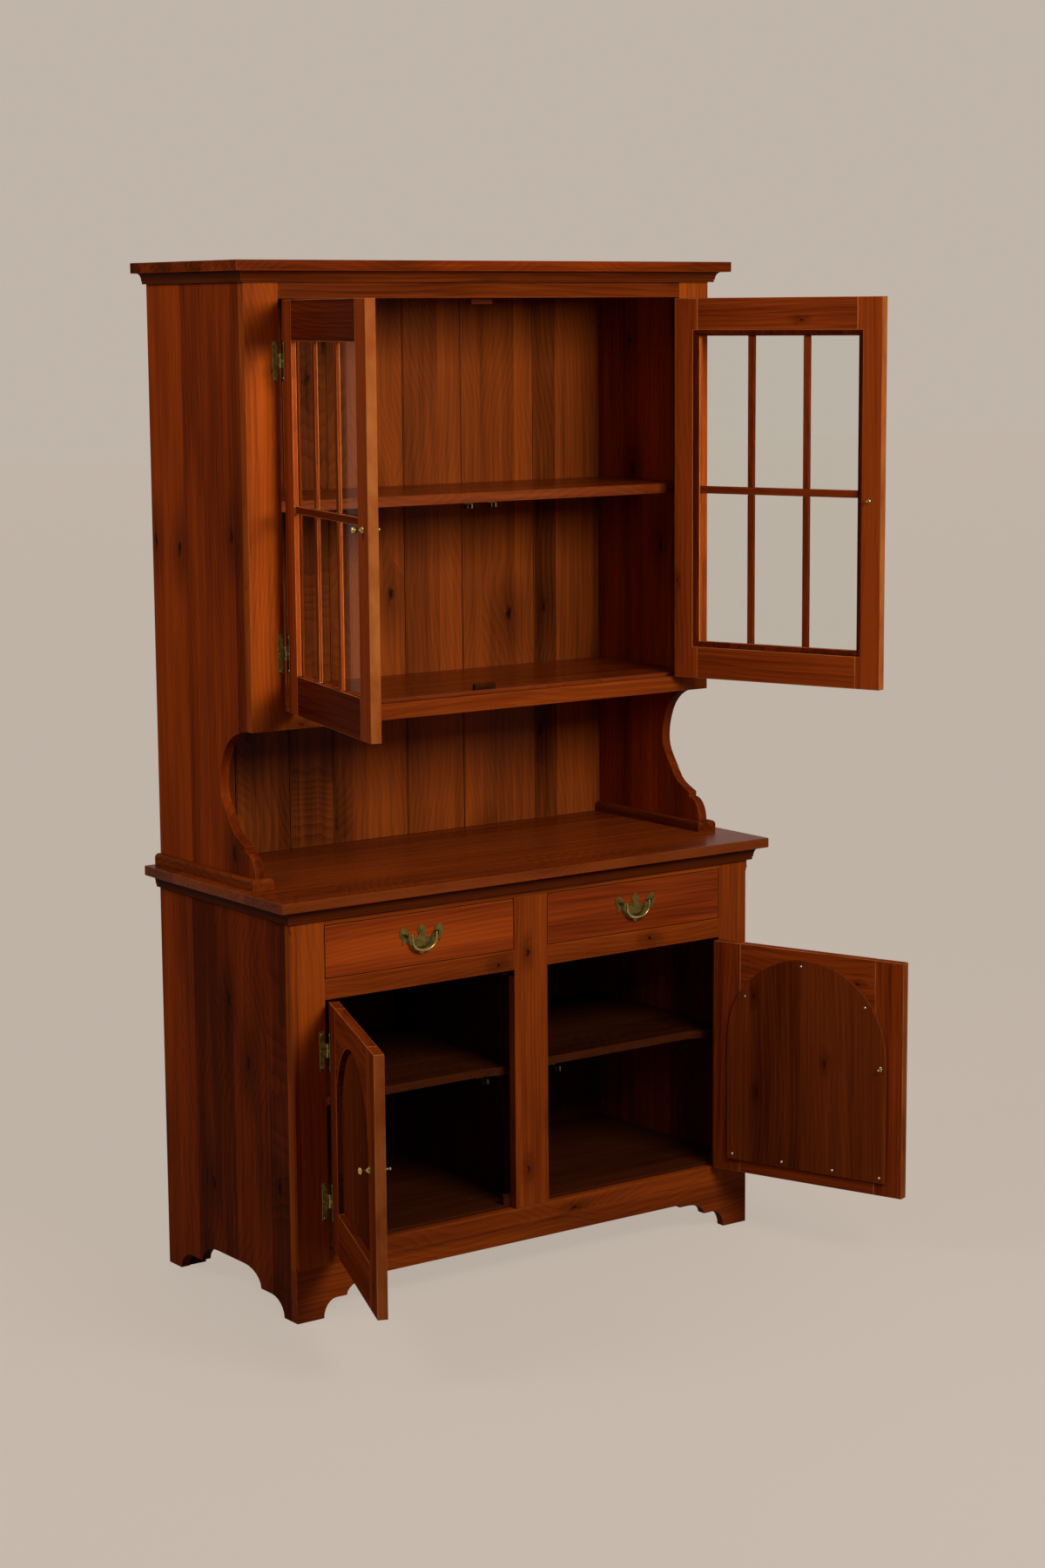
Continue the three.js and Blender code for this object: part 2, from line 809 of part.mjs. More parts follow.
function addUpperSides() {
  const scroll = curveThrough(scrollCurveShares, scrollSteps, (u, v) => [
    upperFrameBackY + u * scrollDepth,
    scrollFoot + v * (upperCaseBottom - scrollFoot),
  ]);
  const stepY = scroll[scroll.length - 1][0];
  const roundDepth = stepY - upperFrontY;
  const round = [];
  for (let i = 0; i <= footRoundSteps; i += 1) {
    const turn = (Math.PI / 2) * (i / footRoundSteps);
    round.push([stepY - roundDepth * Math.sin(turn), footRoundTop - footRoundHeight * (1 - Math.cos(turn))]);
  }
  const outline = [
    [backY, topBoardUnder],
    [upperFrameBackY, topBoardUnder],
    ...scroll,
    [stepY, footRoundTop],
    ...round.slice(1),
    [upperFrontY, worktopHeight],
    [backY, worktopHeight],
  ];
  [["upper_left_side", -1], ["upper_right_side", 1]].forEach(([name, side]) => {
    let board = solidOf(slabBetweenX(outline, side * upperInnerHalf, side * upperHalf));
    [upperShelfFront + pegFromFront, upperBackFrontY - pegFromBack].forEach((y) => {
      board = board.add(solidOf(peg(side * upperHalf, side * (upperInnerHalf - pegReach), y, upperPegHeight)));
    });
    addPiece(cupboard, name, geometryOf(board), paint.sideWood);
  });
}

function addUpperFaceFrame() {
  const outline = rectangle(-upperHalf, upperHalf, upperCaseBottom, topBoardUnder);
  const hole = rectangle(-upperOpeningHalf, upperOpeningHalf, upperOpeningBottom, upperOpeningTop);
  const frame = piercedSlab(outline, upperFrontY, upperFrameBackY, [hole]);
  const stop = [
    [upperFrameBackY, upperOpeningTop],
    [upperFrameBackY, upperOpeningTop + stopLap],
    [upperFrameBackY + stopDepth, upperOpeningTop + stopLap],
    [upperFrameBackY + stopDepth, upperOpeningTop - stopReach],
    [upperFrameBackY + stopGap, upperOpeningTop - stopReach],
    [upperFrameBackY + stopGap, upperOpeningTop],
  ];
  const stopBlock = solidOf(slabAlongX(stop, -upperStopLength / 2, upperStopLength / 2));
  addPiece(cupboard, "upper_face_frame", geometryOf(frame.add(stopBlock)), paint.frameWood);
}

// Boards of uneven widths, tongued together, with a groove at every joint
function addBackBoards() {
  const outline = [[-upperInnerHalf, backY], [-upperInnerHalf, upperBackFrontY]];
  backJointShares.forEach((share) => {
    const joint = upperInnerHalf * (2 * share - 1);
    outline.push([joint - backGrooveWidth / 2, upperBackFrontY]);
    outline.push([joint, upperBackFrontY + backGrooveDepth]);
    outline.push([joint + backGrooveWidth / 2, upperBackFrontY]);
  });
  outline.push([upperInnerHalf, upperBackFrontY], [upperInnerHalf, backY]);
  addPiece(cupboard, "back_boards", slabAlongZ(outline, worktopHeight, topBoardUnder), paint.backWood);
}

// The adjustable shelf from above: its front corners are notched so that it lifts out past the stiles
function notchedShelfOutline() {
  const half = upperInnerHalf - shelfClearance;
  const frontHalf = upperOpeningHalf + upperShelfFrontSpare;
  const notchBack = upperShelfFront + upperShelfNotchDepth;
  const back = upperBackFrontY - shelfClearance;
  return [
    [-frontHalf, upperShelfFront],
    [frontHalf, upperShelfFront],
    [frontHalf, notchBack],
    [half, notchBack],
    [half, back],
    [-half, back],
    [-half, notchBack],
    [-frontHalf, notchBack],
  ];
}

function addUpperShelves() {
  const board = boxBetween(
    [-upperInnerHalf, upperFrameBackY, fixedShelfTop - fixedShelfThickness],
    [upperInnerHalf, upperBackFrontY, fixedShelfTop],
  );
  const stop = boxBetween(
    [-upperStopLength / 2, upperFrameBackY + stopGap, fixedShelfTop - fixedShelfThickness / 2],
    [upperStopLength / 2, upperFrameBackY + stopDepth, fixedShelfTop + stopReach],
  );
  addPiece(cupboard, "fixed_shelf", geometryOf(solidOf(board).add(solidOf(stop))), paint.frameWood);
  addPiece(
    cupboard,
    "adjustable_shelf",
    slabAlongZ(notchedShelfOutline(), upperShelfTop - upperShelfThickness, upperShelfTop),
    paint.frameWood,
  );
}

// The moulding that wraps the foot of one upper side: outside, front and inside
function addFootMoulding(name, side) {
  const profile = [[0, 0], [footMouldReach, 0]];
  for (let i = 0; i <= mouldSteps; i += 1) {
    const turn = (Math.PI / 2) * (i / mouldSteps);
    profile.push([
      footMouldReach - footMouldEdgeRadius * (1 - Math.cos(turn)),
      footMouldHeight - footMouldEdgeRadius * (1 - Math.sin(turn)),
    ]);
  }
  profile.push([0, footMouldHeight]);
  const path = [
    [side * upperHalf, backY],
    [side * upperHalf, upperFrontY],
    [side * upperInnerHalf, upperFrontY],
    [side * upperInnerHalf, upperBackFrontY],
  ];
  const runOrder = side > 0 ? path : path.reverse();
  addPiece(cupboard, name, mitredMoulding(runOrder, profile, worktopHeight), paint.frameWood);
}

// Doors. Each is drawn shut, from its hinge pin, and its group is then turned open.

function openedGroup(pinX, pinY, side, degrees) {
  const group = new THREE.Group();
  group.position.set(pinX, pinY, 0);
  group.rotation.z = THREE.MathUtils.degToRad(-side * degrees);
  cupboard.add(group);
  return group;
}

// Mirrors a left-hung outline for a right-hung door
function hung(side, points) {
  const placed = points.map(([x, z]) => [side * x, z]);
  return side < 0 ? placed.reverse() : placed;
}

function addUpperDoor(prefix, side, degrees) {
  const pinX = -side * (upperOpeningHalf - pinInset);
  const pinY = upperFrontY - pinReach;
  const group = openedGroup(pinX, pinY, side, degrees);
  const width = upperOpeningHalf - doorGap - doorMeetingGap / 2;
  const x0 = doorGap - pinInset;
  const x1 = x0 + width;
  const z0 = upperOpeningBottom + doorGap;
  const z1 = upperOpeningTop - doorGap;
  const front = pinReach;
  const back = pinReach + doorThickness;
  const left = x0 + upperDoorStile;
  const right = x1 - upperDoorStile;
  const low = z0 + upperDoorRail;
  const high = z1 - upperDoorRail;
  const outline = hung(side, rectangle(x0, x1, z0, z1));
  const knobX = x1 - upperKnobFromEdge;
  const boltHole = hung(side, circle(knobX, upperKnobHeight, boltHoleRadius, pullFacets));
  const sight = hung(side, rectangle(left, right, low, high));
  const rabbet = hung(
    side,
    rectangle(left - rabbetWidth, right + rabbetWidth, low - rabbetWidth, high + rabbetWidth),
  );
  const lights = [];
  const columnWidth = (right - left - (lightColumns - 1) * barWidth) / lightColumns;
  const rowHeight = (high - low - (lightRows - 1) * barWidth) / lightRows;
  for (let i = 0; i < lightColumns; i += 1) {
    for (let j = 0; j < lightRows; j += 1) {
      const x = left + i * (columnWidth + barWidth);
      const z = low + j * (rowHeight + barWidth);
      lights.push(hung(side, rectangle(x, x + columnWidth, z, z + rowHeight)));
    }
  }
  const shoulder = back - rabbetDepth;
  const cuts = [
    slabAlongY(sight, front - cutOverrun, front + barFrontRecess),
    slabAlongY(rabbet, shoulder, back + cutOverrun),
    ...lights.map((light) => slabAlongY(light, front - cutOverrun, back + cutOverrun)),
  ];
  const slab = piercedSlab(outline, front, back, [boltHole]);
  const frame = cuts.map(solidOf).reduce((rest, cut) => rest.subtract(cut), slab);
  addPiece(group, `${prefix}_door_frame`, geometryOf(frame), paint.frameWood);
  const paneReach = rabbetWidth - turnedGap;
  const pane = hung(side, rectangle(left - paneReach, right + paneReach, low - paneReach, high + paneReach));
  addPiece(
    group,
    `${prefix}_door_glass`,
    slabAlongY(pane, shoulder + turnedGap, shoulder + turnedGap + glassThickness),
    paint.glass,
  );
  addKnob(group, `${prefix}_door_knob`, side * knobX, upperKnobHeight, back);
  const hinges = [
    ["lower", upperOpeningBottom + upperHingeInset],
    ["upper", upperOpeningTop - upperHingeInset - hingeLength],
  ];
  addHinges(group, prefix, side, pinX, pinY, hinges, front);
}

// A straight-sided outline with a round top, from the bottom left corner round
function tombstone(half, bottom, centreX, centreZ) {
  const points = [[centreX - half, bottom], [centreX + half, bottom]];
  for (let i = 0; i <= archSteps; i += 1) {
    const turn = (Math.PI * i) / archSteps;
    points.push([centreX + half * Math.cos(turn), centreZ + half * Math.sin(turn)]);
  }
  return points;
}

function addLowerDoor(prefix, side, degrees) {
  const pinX = -side * (lowerOpeningOuter - pinInset);
  const pinY = lowerFrontY - pinReach;
  const group = openedGroup(pinX, pinY, side, degrees);
  const x0 = doorGap - pinInset;
  const x1 = x0 + lowerDoorWidth;
  const z0 = lowerOpeningBottom + doorGap;
  const z1 = lowerOpeningTop - doorGap;
  const front = pinReach;
  const back = pinReach + doorThickness;
  const centre = (x0 + x1) / 2;
  const sillZ = z0 + lowerDoorBottomRail;
  const knobX = x1 - lowerKnobFromEdge;
  const boltHole = hung(side, circle(knobX, lowerKnobHeight, boltHoleRadius, pullFacets));
  const opening = hung(side, tombstone(archRadius, sillZ, centre, archCentreHeight));
  const frame = piercedSlab(hung(side, rectangle(x0, x1, z0, z1)), front, back, [opening, boltHole]);
  addPiece(group, `${prefix}_door_frame`, geometryOf(frame), paint.frameWood);
  const boardFront = back + turnedGap;
  const board = hung(side, tombstone(archRadius + panelLap, sillZ - panelBottomLap, centre, archCentreHeight));
  const fieldHalf = archRadius - turnedGap;
  const field = hung(side, tombstone(fieldHalf, sillZ + turnedGap, centre, archCentreHeight));
  const fieldFront = front + panelFieldRecess;
  const raisedHalf = fieldHalf - panelBevelWidth;
  const raised = hung(side, tombstone(raisedHalf, sillZ + panelBevelWidth, centre, archCentreHeight));
  const ringAt = (points, y) => points.map(([x, z]) => [x, y, z]);
  const rings = [
    ringAt(raised, fieldFront - panelBevelDepth),
    ringAt(field, fieldFront),
    ringAt(field, boardFront + panelThickness / 2),
  ];
  const boardSolid = piercedSlab(board, boardFront, boardFront + panelThickness, [boltHole]);
  const panel = boardSolid.add(solidOf(loftRings(rings)));
  addPiece(group, `${prefix}_door_panel`, geometryOf(panel), paint.frameWood);
  addKnob(group, `${prefix}_door_knob`, side * knobX, lowerKnobHeight, boardFront + panelThickness);
  const hinges = [
    ["lower", lowerOpeningBottom + lowerHingeInset],
    ["upper", lowerOpeningTop - lowerHingeInset - hingeLength],
  ];
  addHinges(group, prefix, side, pinX, pinY, hinges, front);
}

// A turned knob on the front face, its bolt through the wood and its round stud on the back
function addKnob(group, name, x, z, backFace) {
  const face = pinReach - turnedGap;
  const tail = backFace + turnedGap;
  const neck = knobBaseHeight + (knobHeight - knobHeadRadius - knobBaseHeight) / 2;
  const head = knobHeight - knobHeadRadius;
  const cap = [];
  for (let i = 0; i <= mouldSteps; i += 1) {
    const turn = (Math.PI / 2) * (i / mouldSteps);
    cap.push([knobHeadRadius * Math.cos(turn), head + knobHeadRadius * Math.sin(turn)]);
  }
  const profile = [
    [0, -(tail - face) - studHeight],
    [studRadius / 2, -(tail - face) - studHeight],
    [studRadius, -(tail - face) - studHeight / 2],
    [studRadius, -(tail - face)],
    [boltRadius, -(tail - face)],
    [boltRadius, 0],
    [knobBaseRadius, 0],
    [knobBaseRadius, knobBaseHeight / 2],
    [knobNeckRadius, knobBaseHeight],
    [knobNeckRadius, neck],
    [knobHeadRadius, head],
    ...cap.slice(1),
  ];
  profile[profile.length - 1][0] = 0;
  const geometry = new THREE.LatheGeometry(profile.map(([r, h]) => new THREE.Vector2(r, h)), knobFacets);
  geometry.rotateX(Math.PI);
  geometry.translate(x, face, z);
  addPiece(group, name, geometryOf(solidOf(geometry)), paint.brass);
}

// One leaf: an upright strip, and a bridge in its middle to its share of the short barrel.
// The pin belongs to the leaf on the case.
function hingeLeaf(direction, z0, face, knuckles, otherKnuckles, withPin) {
  const outer = direction * hingeLeafWidth;
  const inner = direction * hingeStripInset;
  const barrelLow = z0 + (hingeLength - hingeBarrelLength) / 2;
  const barrelHigh = barrelLow + hingeBarrelLength;
  const back = face - hingeLeafThickness;
  const cover = hingeBarrelRadius + hingeRunningGap;
  const strip = boxBetween([Math.min(inner, outer), back, z0], [Math.max(inner, outer), face, z0 + hingeLength]);
  const bridge = boxBetween([Math.min(0, outer), back, barrelLow], [Math.max(0, outer), face, barrelHigh]);
  let leaf = solidOf(strip).add(solidOf(bridge));
  otherKnuckles.forEach(([a, b]) => {
    const low = barrelLow + a - hingeRunningGap;
    const high = barrelLow + b + hingeRunningGap;
    const clear = boxBetween([-cover, back - cutOverrun, low], [cover, face + cutOverrun, high]);
    leaf = leaf.subtract(solidOf(clear));
  });
  knuckles.forEach(([a, b]) => {
    leaf = leaf.add(solidOf(barAlongZ(0, 0, hingeBarrelRadius, barrelLow + a, barrelLow + b, hingeFacets)));
  });
  if (withPin) {
    leaf = leaf.add(solidOf(barAlongZ(0, 0, hingePinRadius, barrelLow, barrelHigh, hingeFacets)));
  } else {
    const bore = hingePinRadius + hingeRunningGap;
    leaf = leaf.subtract(
      solidOf(barAlongZ(0, 0, bore, barrelLow - cutOverrun, barrelHigh + cutOverrun, hingeFacets)),
    );
  }
  return leaf;
}

function addHinges(group, prefix, side, pinX, pinY, hinges, face) {
  const third = hingeBarrelLength / 3;
  const middle = [[third + hingeRunningGap, hingeBarrelLength - third - hingeRunningGap]];
  const ends = [[0, third], [hingeBarrelLength - third, hingeBarrelLength]];
  hinges.forEach(([place, z0]) => {
    const caseLeaf = geometryOf(hingeLeaf(-side, z0, face, ends, middle, true));
    const caseMesh = addPiece(cupboard, `${prefix}_${place}_hinge_case_leaf`, caseLeaf, paint.brass);
    caseMesh.position.set(pinX, pinY, 0);
    const doorLeaf = hingeLeaf(side, z0, face - turnedGap, middle, ends, false);
    addPiece(group, `${prefix}_${place}_hinge_door_leaf`, geometryOf(doorLeaf), paint.brass);
  });
}

// Drawers. Everything on a drawer hangs in one group that slides toward -Y.

function addDrawer(prefix, side) {
  const group = new THREE.Group();
  cupboard.add(group);
  const centre = (side * (midStileHalf + lowerOpeningOuter)) / 2;
  const half = (lowerOpeningOuter - midStileHalf) / 2;
  const frontHalf = half - drawerGap;
  const boxHalf = half - drawerSideGap;
  const z0 = drawerOpeningBottom + drawerGap;
  const z1 = drawerOpeningTop - drawerGap;
  const posts = [-1, 1].map((end) => centre + (end * pullPostSpacing) / 2);
  const holes = posts.map((x) => circle(x, pullPostHeight, pullHoleRadius, pullFacets));
  const face = rectangle(centre - frontHalf, centre + frontHalf, z0, z1);
  const front = piercedSlab(face, lowerFrontY, lowerFrameBackY, holes);
  addPiece(group, `${prefix}_drawer_front`, geometryOf(front), paint.frameWood);
  const bottom = drawerOpeningBottom + drawerRunningGap;
  const y1 = lowerBackFrontY - drawerBackClearance;
  const floorTop = bottom + drawerBottomLift + drawerBottomThickness;
  const outer = boxBetween(
    [centre - boxHalf, lowerFrameBackY, bottom],
    [centre + boxHalf, y1, bottom + drawerBoxHeight],
  );
  const innerHalf = boxHalf - drawerWallThickness;
  const inside = boxBetween(
    [centre - innerHalf, lowerFrameBackY - cutOverrun, floorTop],
    [centre + innerHalf, y1 - drawerWallThickness, bottom + drawerBoxHeight + cutOverrun],
  );
  const under = boxBetween(
    [centre - innerHalf, lowerFrameBackY - cutOverrun, bottom - cutOverrun],
    [centre + innerHalf, y1 - drawerWallThickness, bottom + drawerBottomLift],
  );
  const box = solidOf(outer).subtract(solidOf(inside)).subtract(solidOf(under));
  addPiece(group, `${prefix}_drawer_box`, geometryOf(box), paint.innerWood);
  addPull(group, prefix, centre, posts);
}

function pullOutline(centre) {
  const half = pullPlateWidth / 2;
  const place = ([u, v]) => [u * half, pullPostHeight + v * (v > 0 ? pullPlateAbovePosts : pullPlateBelowPosts)];
  const right = [...pullLowerShares].reverse().concat(pullUpperShares).map(place);
  const left = right.slice(1, -1).map(([x, z]) => [-x, z]).reverse();
  return [...right, ...left].map(([x, z]) => [centre + x, z]);
}

function addPull(group, prefix, centre, posts) {
  const face = lowerFrontY;
  const pivotY = face - pullPivotReach;
  let plate = solidOf(slabAlongY(pullOutline(centre), face - pullPlateThickness, face));
  posts.forEach((x) => {
    const inward = Math.sign(centre - x);
    const reachY = face - pullPostReach;
    plate = plate.add(solidOf(barAlongY(x, pullPostHeight, pullPostRadius, reachY, face, pullFacets)));
    const tail = lowerFrameBackY + pullBoltStickOut;
    plate = plate.add(solidOf(barAlongY(x, pullPostHeight, pullBoltRadius, face - pullPlateThickness, tail, pullFacets)));
    const socket = new THREE.CylinderGeometry(
      pullSocketRadius,
      pullSocketRadius,
      pullSocketDepth + pullPostRadius,
      pullFacets,
    );
    socket.rotateZ(Math.PI / 2);
    const from = x + inward * (pullPostRadius - pullSocketDepth);
    socket.translate(from + (inward * (pullSocketDepth + pullPostRadius)) / 2, pivotY, pullPostHeight);
    plate = plate.subtract(solidOf(socket));
  });
  addPiece(group, `${prefix}_pull_plate`, geometryOf(plate), paint.brass);
  addPiece(group, `${prefix}_pull_bail`, bailGeometry(centre, pivotY), paint.brass);
}

// The swinging bail: two pins in the posts and a drooping bow, thicker in its middle
function bailGeometry(centre, pivotY) {
  const half = pullPostSpacing / 2;
  const pinEnd = half - pullPostRadius + pullSocketDepth - bailPinPlay;
  const elbow = half - pullPostRadius - bailEndRadius - bailPinPlay;
  const rings = [];
  for (let i = 0; i <= bailSteps; i += 1) {
    const turn = Math.PI * (i / bailSteps);
    const x = elbow * Math.cos(turn);
    const z = -bailDrop * Math.sin(turn) ** 0.6;
    const radius = bailEndRadius + (bailMiddleRadius - bailEndRadius) * Math.sin(turn) ** 3;
    const ahead = new THREE.Vector2(-Math.sin(turn), -Math.cos(turn)).normalize();
    rings.push(bailRing(centre + x, pivotY, pullPostHeight + z, radius, ahead));
  }
  let bail = solidOf(loftRings(rings));
  [-1, 1].forEach((end) => {
    const from = end * (elbow - bailEndRadius);
    const pin = new THREE.CylinderGeometry(bailPinRadius, bailPinRadius, Math.abs(end * pinEnd - from), pullFacets);
    pin.rotateZ(Math.PI / 2);
    pin.translate(centre + (end * pinEnd + from) / 2, pivotY, pullPostHeight);
    bail = bail.add(solidOf(pin));
  });
  return geometryOf(bail);
}

function bailRing(x, y, z, radius, ahead) {
  return Array.from({ length: bailSides }, (_, i) => {
    const turn = (2 * Math.PI * i) / bailSides;
    const side = radius * Math.cos(turn);
    return [x - side * ahead.y, y + radius * Math.sin(turn), z + side * ahead.x];
  });
}

addLowerSides();
addRearFootBlocks();
addLowerFaceFrame();
addSkirt();
addLowerBoards();
addDustBoard();
addLowerShelf("lower_left_shelf", -1);
addLowerShelf("lower_right_shelf", 1);
addWorktopMoulding();
addUpperSides();
addUpperFaceFrame();
addBackBoards();
addUpperShelves();
addCrownMoulding();
addTopBoard();
addFootMoulding("left_foot_moulding", -1);
addFootMoulding("right_foot_moulding", 1);
addUpperDoor("upper_left", 1, upperLeftOpen);
addUpperDoor("upper_right", -1, upperRightOpen);
addLowerDoor("lower_left", 1, lowerLeftOpen);
addLowerDoor("lower_right", -1, lowerRightOpen);
addDrawer("left", -1);
addDrawer("right", 1);

export default cupboard;
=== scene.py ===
import math

import bmesh
import bpy
from mathutils import Matrix, Vector


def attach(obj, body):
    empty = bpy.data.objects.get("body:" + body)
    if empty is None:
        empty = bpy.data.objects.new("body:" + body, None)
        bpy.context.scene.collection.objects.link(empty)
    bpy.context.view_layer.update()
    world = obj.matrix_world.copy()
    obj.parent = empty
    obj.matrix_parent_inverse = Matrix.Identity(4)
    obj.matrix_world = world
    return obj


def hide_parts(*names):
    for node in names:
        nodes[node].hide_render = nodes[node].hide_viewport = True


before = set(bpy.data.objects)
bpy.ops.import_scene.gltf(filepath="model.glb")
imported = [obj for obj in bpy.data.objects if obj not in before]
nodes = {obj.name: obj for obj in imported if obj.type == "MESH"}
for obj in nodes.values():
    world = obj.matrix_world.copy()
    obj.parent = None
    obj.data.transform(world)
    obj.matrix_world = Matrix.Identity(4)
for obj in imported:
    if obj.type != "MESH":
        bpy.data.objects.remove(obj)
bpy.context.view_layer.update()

# Places on the cupboard, in metres
FRONT_LOWER = -0.244
FRONT_UPPER = -0.118
BACK = 0.244
HALF_LOWER = 0.55
HALF_UPPER = 0.547
STILE = 0.074
FRAME_DEPTH = 0.02
DOOR_DEPTH = 0.0197
PIN_REACH = 0.0032
BACK_JOINTS = [-0.3830, -0.2570, -0.1531, 0.0281, 0.1710, 0.3550]

# Each door: its pin, which way it hangs, the degrees that it stands open, the tones of its stiles and
# rails, and the finish and tone of its bars. These tones are partly painted light and shade.
DOORS = {
    "upper_left": {"pin": (-0.472, -0.1212), "side": 1, "open": 104, "tones": (1.0, 0.2),
                   "bars": ("door_wood", 0.6)},
    "upper_right": {"pin": (0.472, -0.1212), "side": -1, "open": 110, "tones": (1.0, 0.78),
                    "bars": ("bar_wood", 0.3)},
    "lower_left": {"pin": (-0.475, -0.2472), "side": 1, "open": 112, "tones": (0.7, 0.66)},
    "lower_right": {"pin": (0.475, -0.2472), "side": -1, "open": 110, "tones": (0.8, 0.85)},
}
# Along a door from its pin: where it begins and ends. Then the width of its stiles
DOOR_START = 0.001
DOOR_END = {"upper": 0.4705, "lower": 0.433}
DOOR_STILE = {"upper": 0.054, "lower": 0.062}
# The heights between which a door has no rail
RAIL_CUTS = {"upper": (1.144 + 0.075, 1.909 - 0.075), "lower": (0.3, 0.415)}
# How much the free edge of a door is paled: rubbed finish, and a painted highlight of the lit edge
FREE_EDGE_WEAR_AND_HIGHLIGHT = {"upper": 1.0, "lower": 0.5}
# A door's back, the shoulder that its pane rests on, and the widths of its bars and its rabbet
DOOR_BACK = PIN_REACH + DOOR_DEPTH
SHOULDER = DOOR_BACK - 0.010
BAR = 0.015
RABBET = 0.011
# Gaps, heights and tones of the back boards
JOINT_GAP = 0.0034
BACK_BOARD = 0.020
BACK_HEIGHTS = (0.8145, 1.9605)
BACK_TONES = [0.54, 0.54, 0.42, 0.62, 0.5, 0.55, 0.52]
# Tones of the fronts and the returns (darker: painted shade) of the mouldings, and the mid stile of the
# lower face frame
FRONT_RUN_TONE, RETURN_SHADE_TONE = -0.1, -0.6
MID_STILE = 0.08
LOWER_FRAME_HEIGHTS = (0.1325, 0.7575)
# Hinges start at these heights. Screws sit at a share of the height and a distance from the pin
HINGE_LENGTH = 0.075
HINGE_STARTS = {"upper": (1.218, 1.760), "lower": (0.1905, 0.482)}
HINGE_SCREWS = ((0.08, 0.0108), (0.5, 0.0112), (0.92, 0.0108))
PANEL_SCREWS = ((0.076, 0.5065), (0.206, 0.583), (0.351, 0.516), (0.386, 0.398), (0.048, 0.173),
                (0.164, 0.173), (0.280, 0.173), (0.386, 0.173))
# Knobs, how far the back of a door stands proud there, and the shelves (front, underside) with the clips
KNOB_INSET = {"upper": 0.027, "lower": 0.046}
KNOB_HEIGHT = {"upper": 1.514, "lower": 0.395}
BACK_PROUD = {"upper": 0.0003, "lower": 0.0066}
SHELF_EDGE = {"upper": (-0.084, 1.516), "lower": (-0.190, 0.396)}
STUD_BALL = 0.0028
STUD_REACH = 0.009
# Drawers and their pulls; the two front tones differ partly as painted light and shade
DRAWER_TONES = {"left": 0.6, "right": 0.36}
BOX_HALF = 0.205
BOX_BACK = 0.188
PULL_CENTRES = {"left": -0.258, "right": 0.258}
PULL_HEIGHT = 0.7155
BOW_HALF = 0.0278
BOW_DROP = 0.030
BOW_STEPS = 56
# The end of a bail from its bow into the post: reach from the middle, lift and thickness
BAIL_PIN = ((0.0280, 0.0004, 0.0021), (0.0288, 0.0009, 0.0019), (0.0300, 0.0004, 0.0016),
            (0.0330, 0, 0.0014))
# The material index that marks an eased arris until its piece is made
ARRIS = 1


# ---------- finishes ----------

class Wiring:
    """Short ways to place and join the nodes of one tree."""

    def __init__(self, tree):
        self.tree = tree

    def fill(self, sockets, values):
        """Links or sets each socket that is named by its label or its place."""
        for key, value in values.items():
            if isinstance(value, bpy.types.NodeSocket):
                self.tree.links.new(value, sockets[key])
            else:
                sockets[key].default_value = value

    def node(self, kind, inputs=None, **settings):
        made = self.tree.nodes.new(kind)
        for key, value in settings.items():
            setattr(made, key, value)
        self.fill(made.inputs, inputs or {})
        return made

    def first(self, kind, inputs=None, **settings):
        """The first output of a new node."""
        return self.node(kind, inputs, **settings).outputs[0]

    def math(self, operation, *values, clamp=False):
        return self.first("ShaderNodeMath", dict(enumerate(values)), operation=operation, use_clamp=clamp)

    def times(self, *values, clamp=False):
        return self.math("MULTIPLY", *values, clamp=clamp)

    def plus(self, *values, clamp=False):
        return self.math("ADD", *values, clamp=clamp)

    def minus(self, *values, clamp=False):
        return self.math("SUBTRACT", *values, clamp=clamp)

    def parts(self, vector):
        return self.node("ShaderNodeSeparateXYZ", {0: vector}).outputs

    def joined(self, *values):
        return self.first("ShaderNodeCombineXYZ", dict(enumerate(values)))

    def stretched(self, vector, scale):
        return self.first("ShaderNodeVectorMath", {0: vector, 1: scale}, operation="MULTIPLY")

    def noise(self, vector, detail=2.0, roughness=0.5):
        """Soft noise from 0 to 1, one cell to each unit of the vector."""
        return self.first("ShaderNodeTexNoise", {
            "Vector": vector, "Scale": 1.0, "Detail": detail, "Roughness": roughness})

    def ranged(self, value, low, high, to_low=0.0, to_high=1.0, **settings):
        limits = {"From Min": low, "From Max": high, "To Min": to_low, "To Max": to_high}
        return self.first("ShaderNodeMapRange", {"Value": value, **limits}, **settings)

    def mixed(self, share, first, second):
        """The first colour, given way to the second by the share."""
        return self.node("ShaderNodeMix", {0: share, 6: first, 7: second}, data_type="RGBA").outputs[2]


SOCKETS = {int: "NodeSocketInt", float: "NodeSocketFloat"}


def group_of(name, inputs, outputs, kind="ShaderNodeTree", given="NodeSocketFloat"):
    """A node group. An input has its usual number or, where it isn't a number, its kind of socket.

    Gives the tree, its wiring, and the sockets at its two ends: what comes in and what goes out.
    """
    tree = bpy.data.node_groups.new(name, kind)
    for label, value in inputs.items():
        if isinstance(value, str):
            tree.interface.new_socket(label, in_out="INPUT", socket_type=value)
        else:
            socket = tree.interface.new_socket(label, in_out="INPUT", socket_type=SOCKETS[type(value)])
            socket.default_value = value
    for label in outputs:
        tree.interface.new_socket(label, in_out="OUTPUT", socket_type=given)
    ends = tree.nodes.new("NodeGroupInput").outputs, tree.nodes.new("NodeGroupOutput").inputs
    return tree, Wiring(tree), *ends


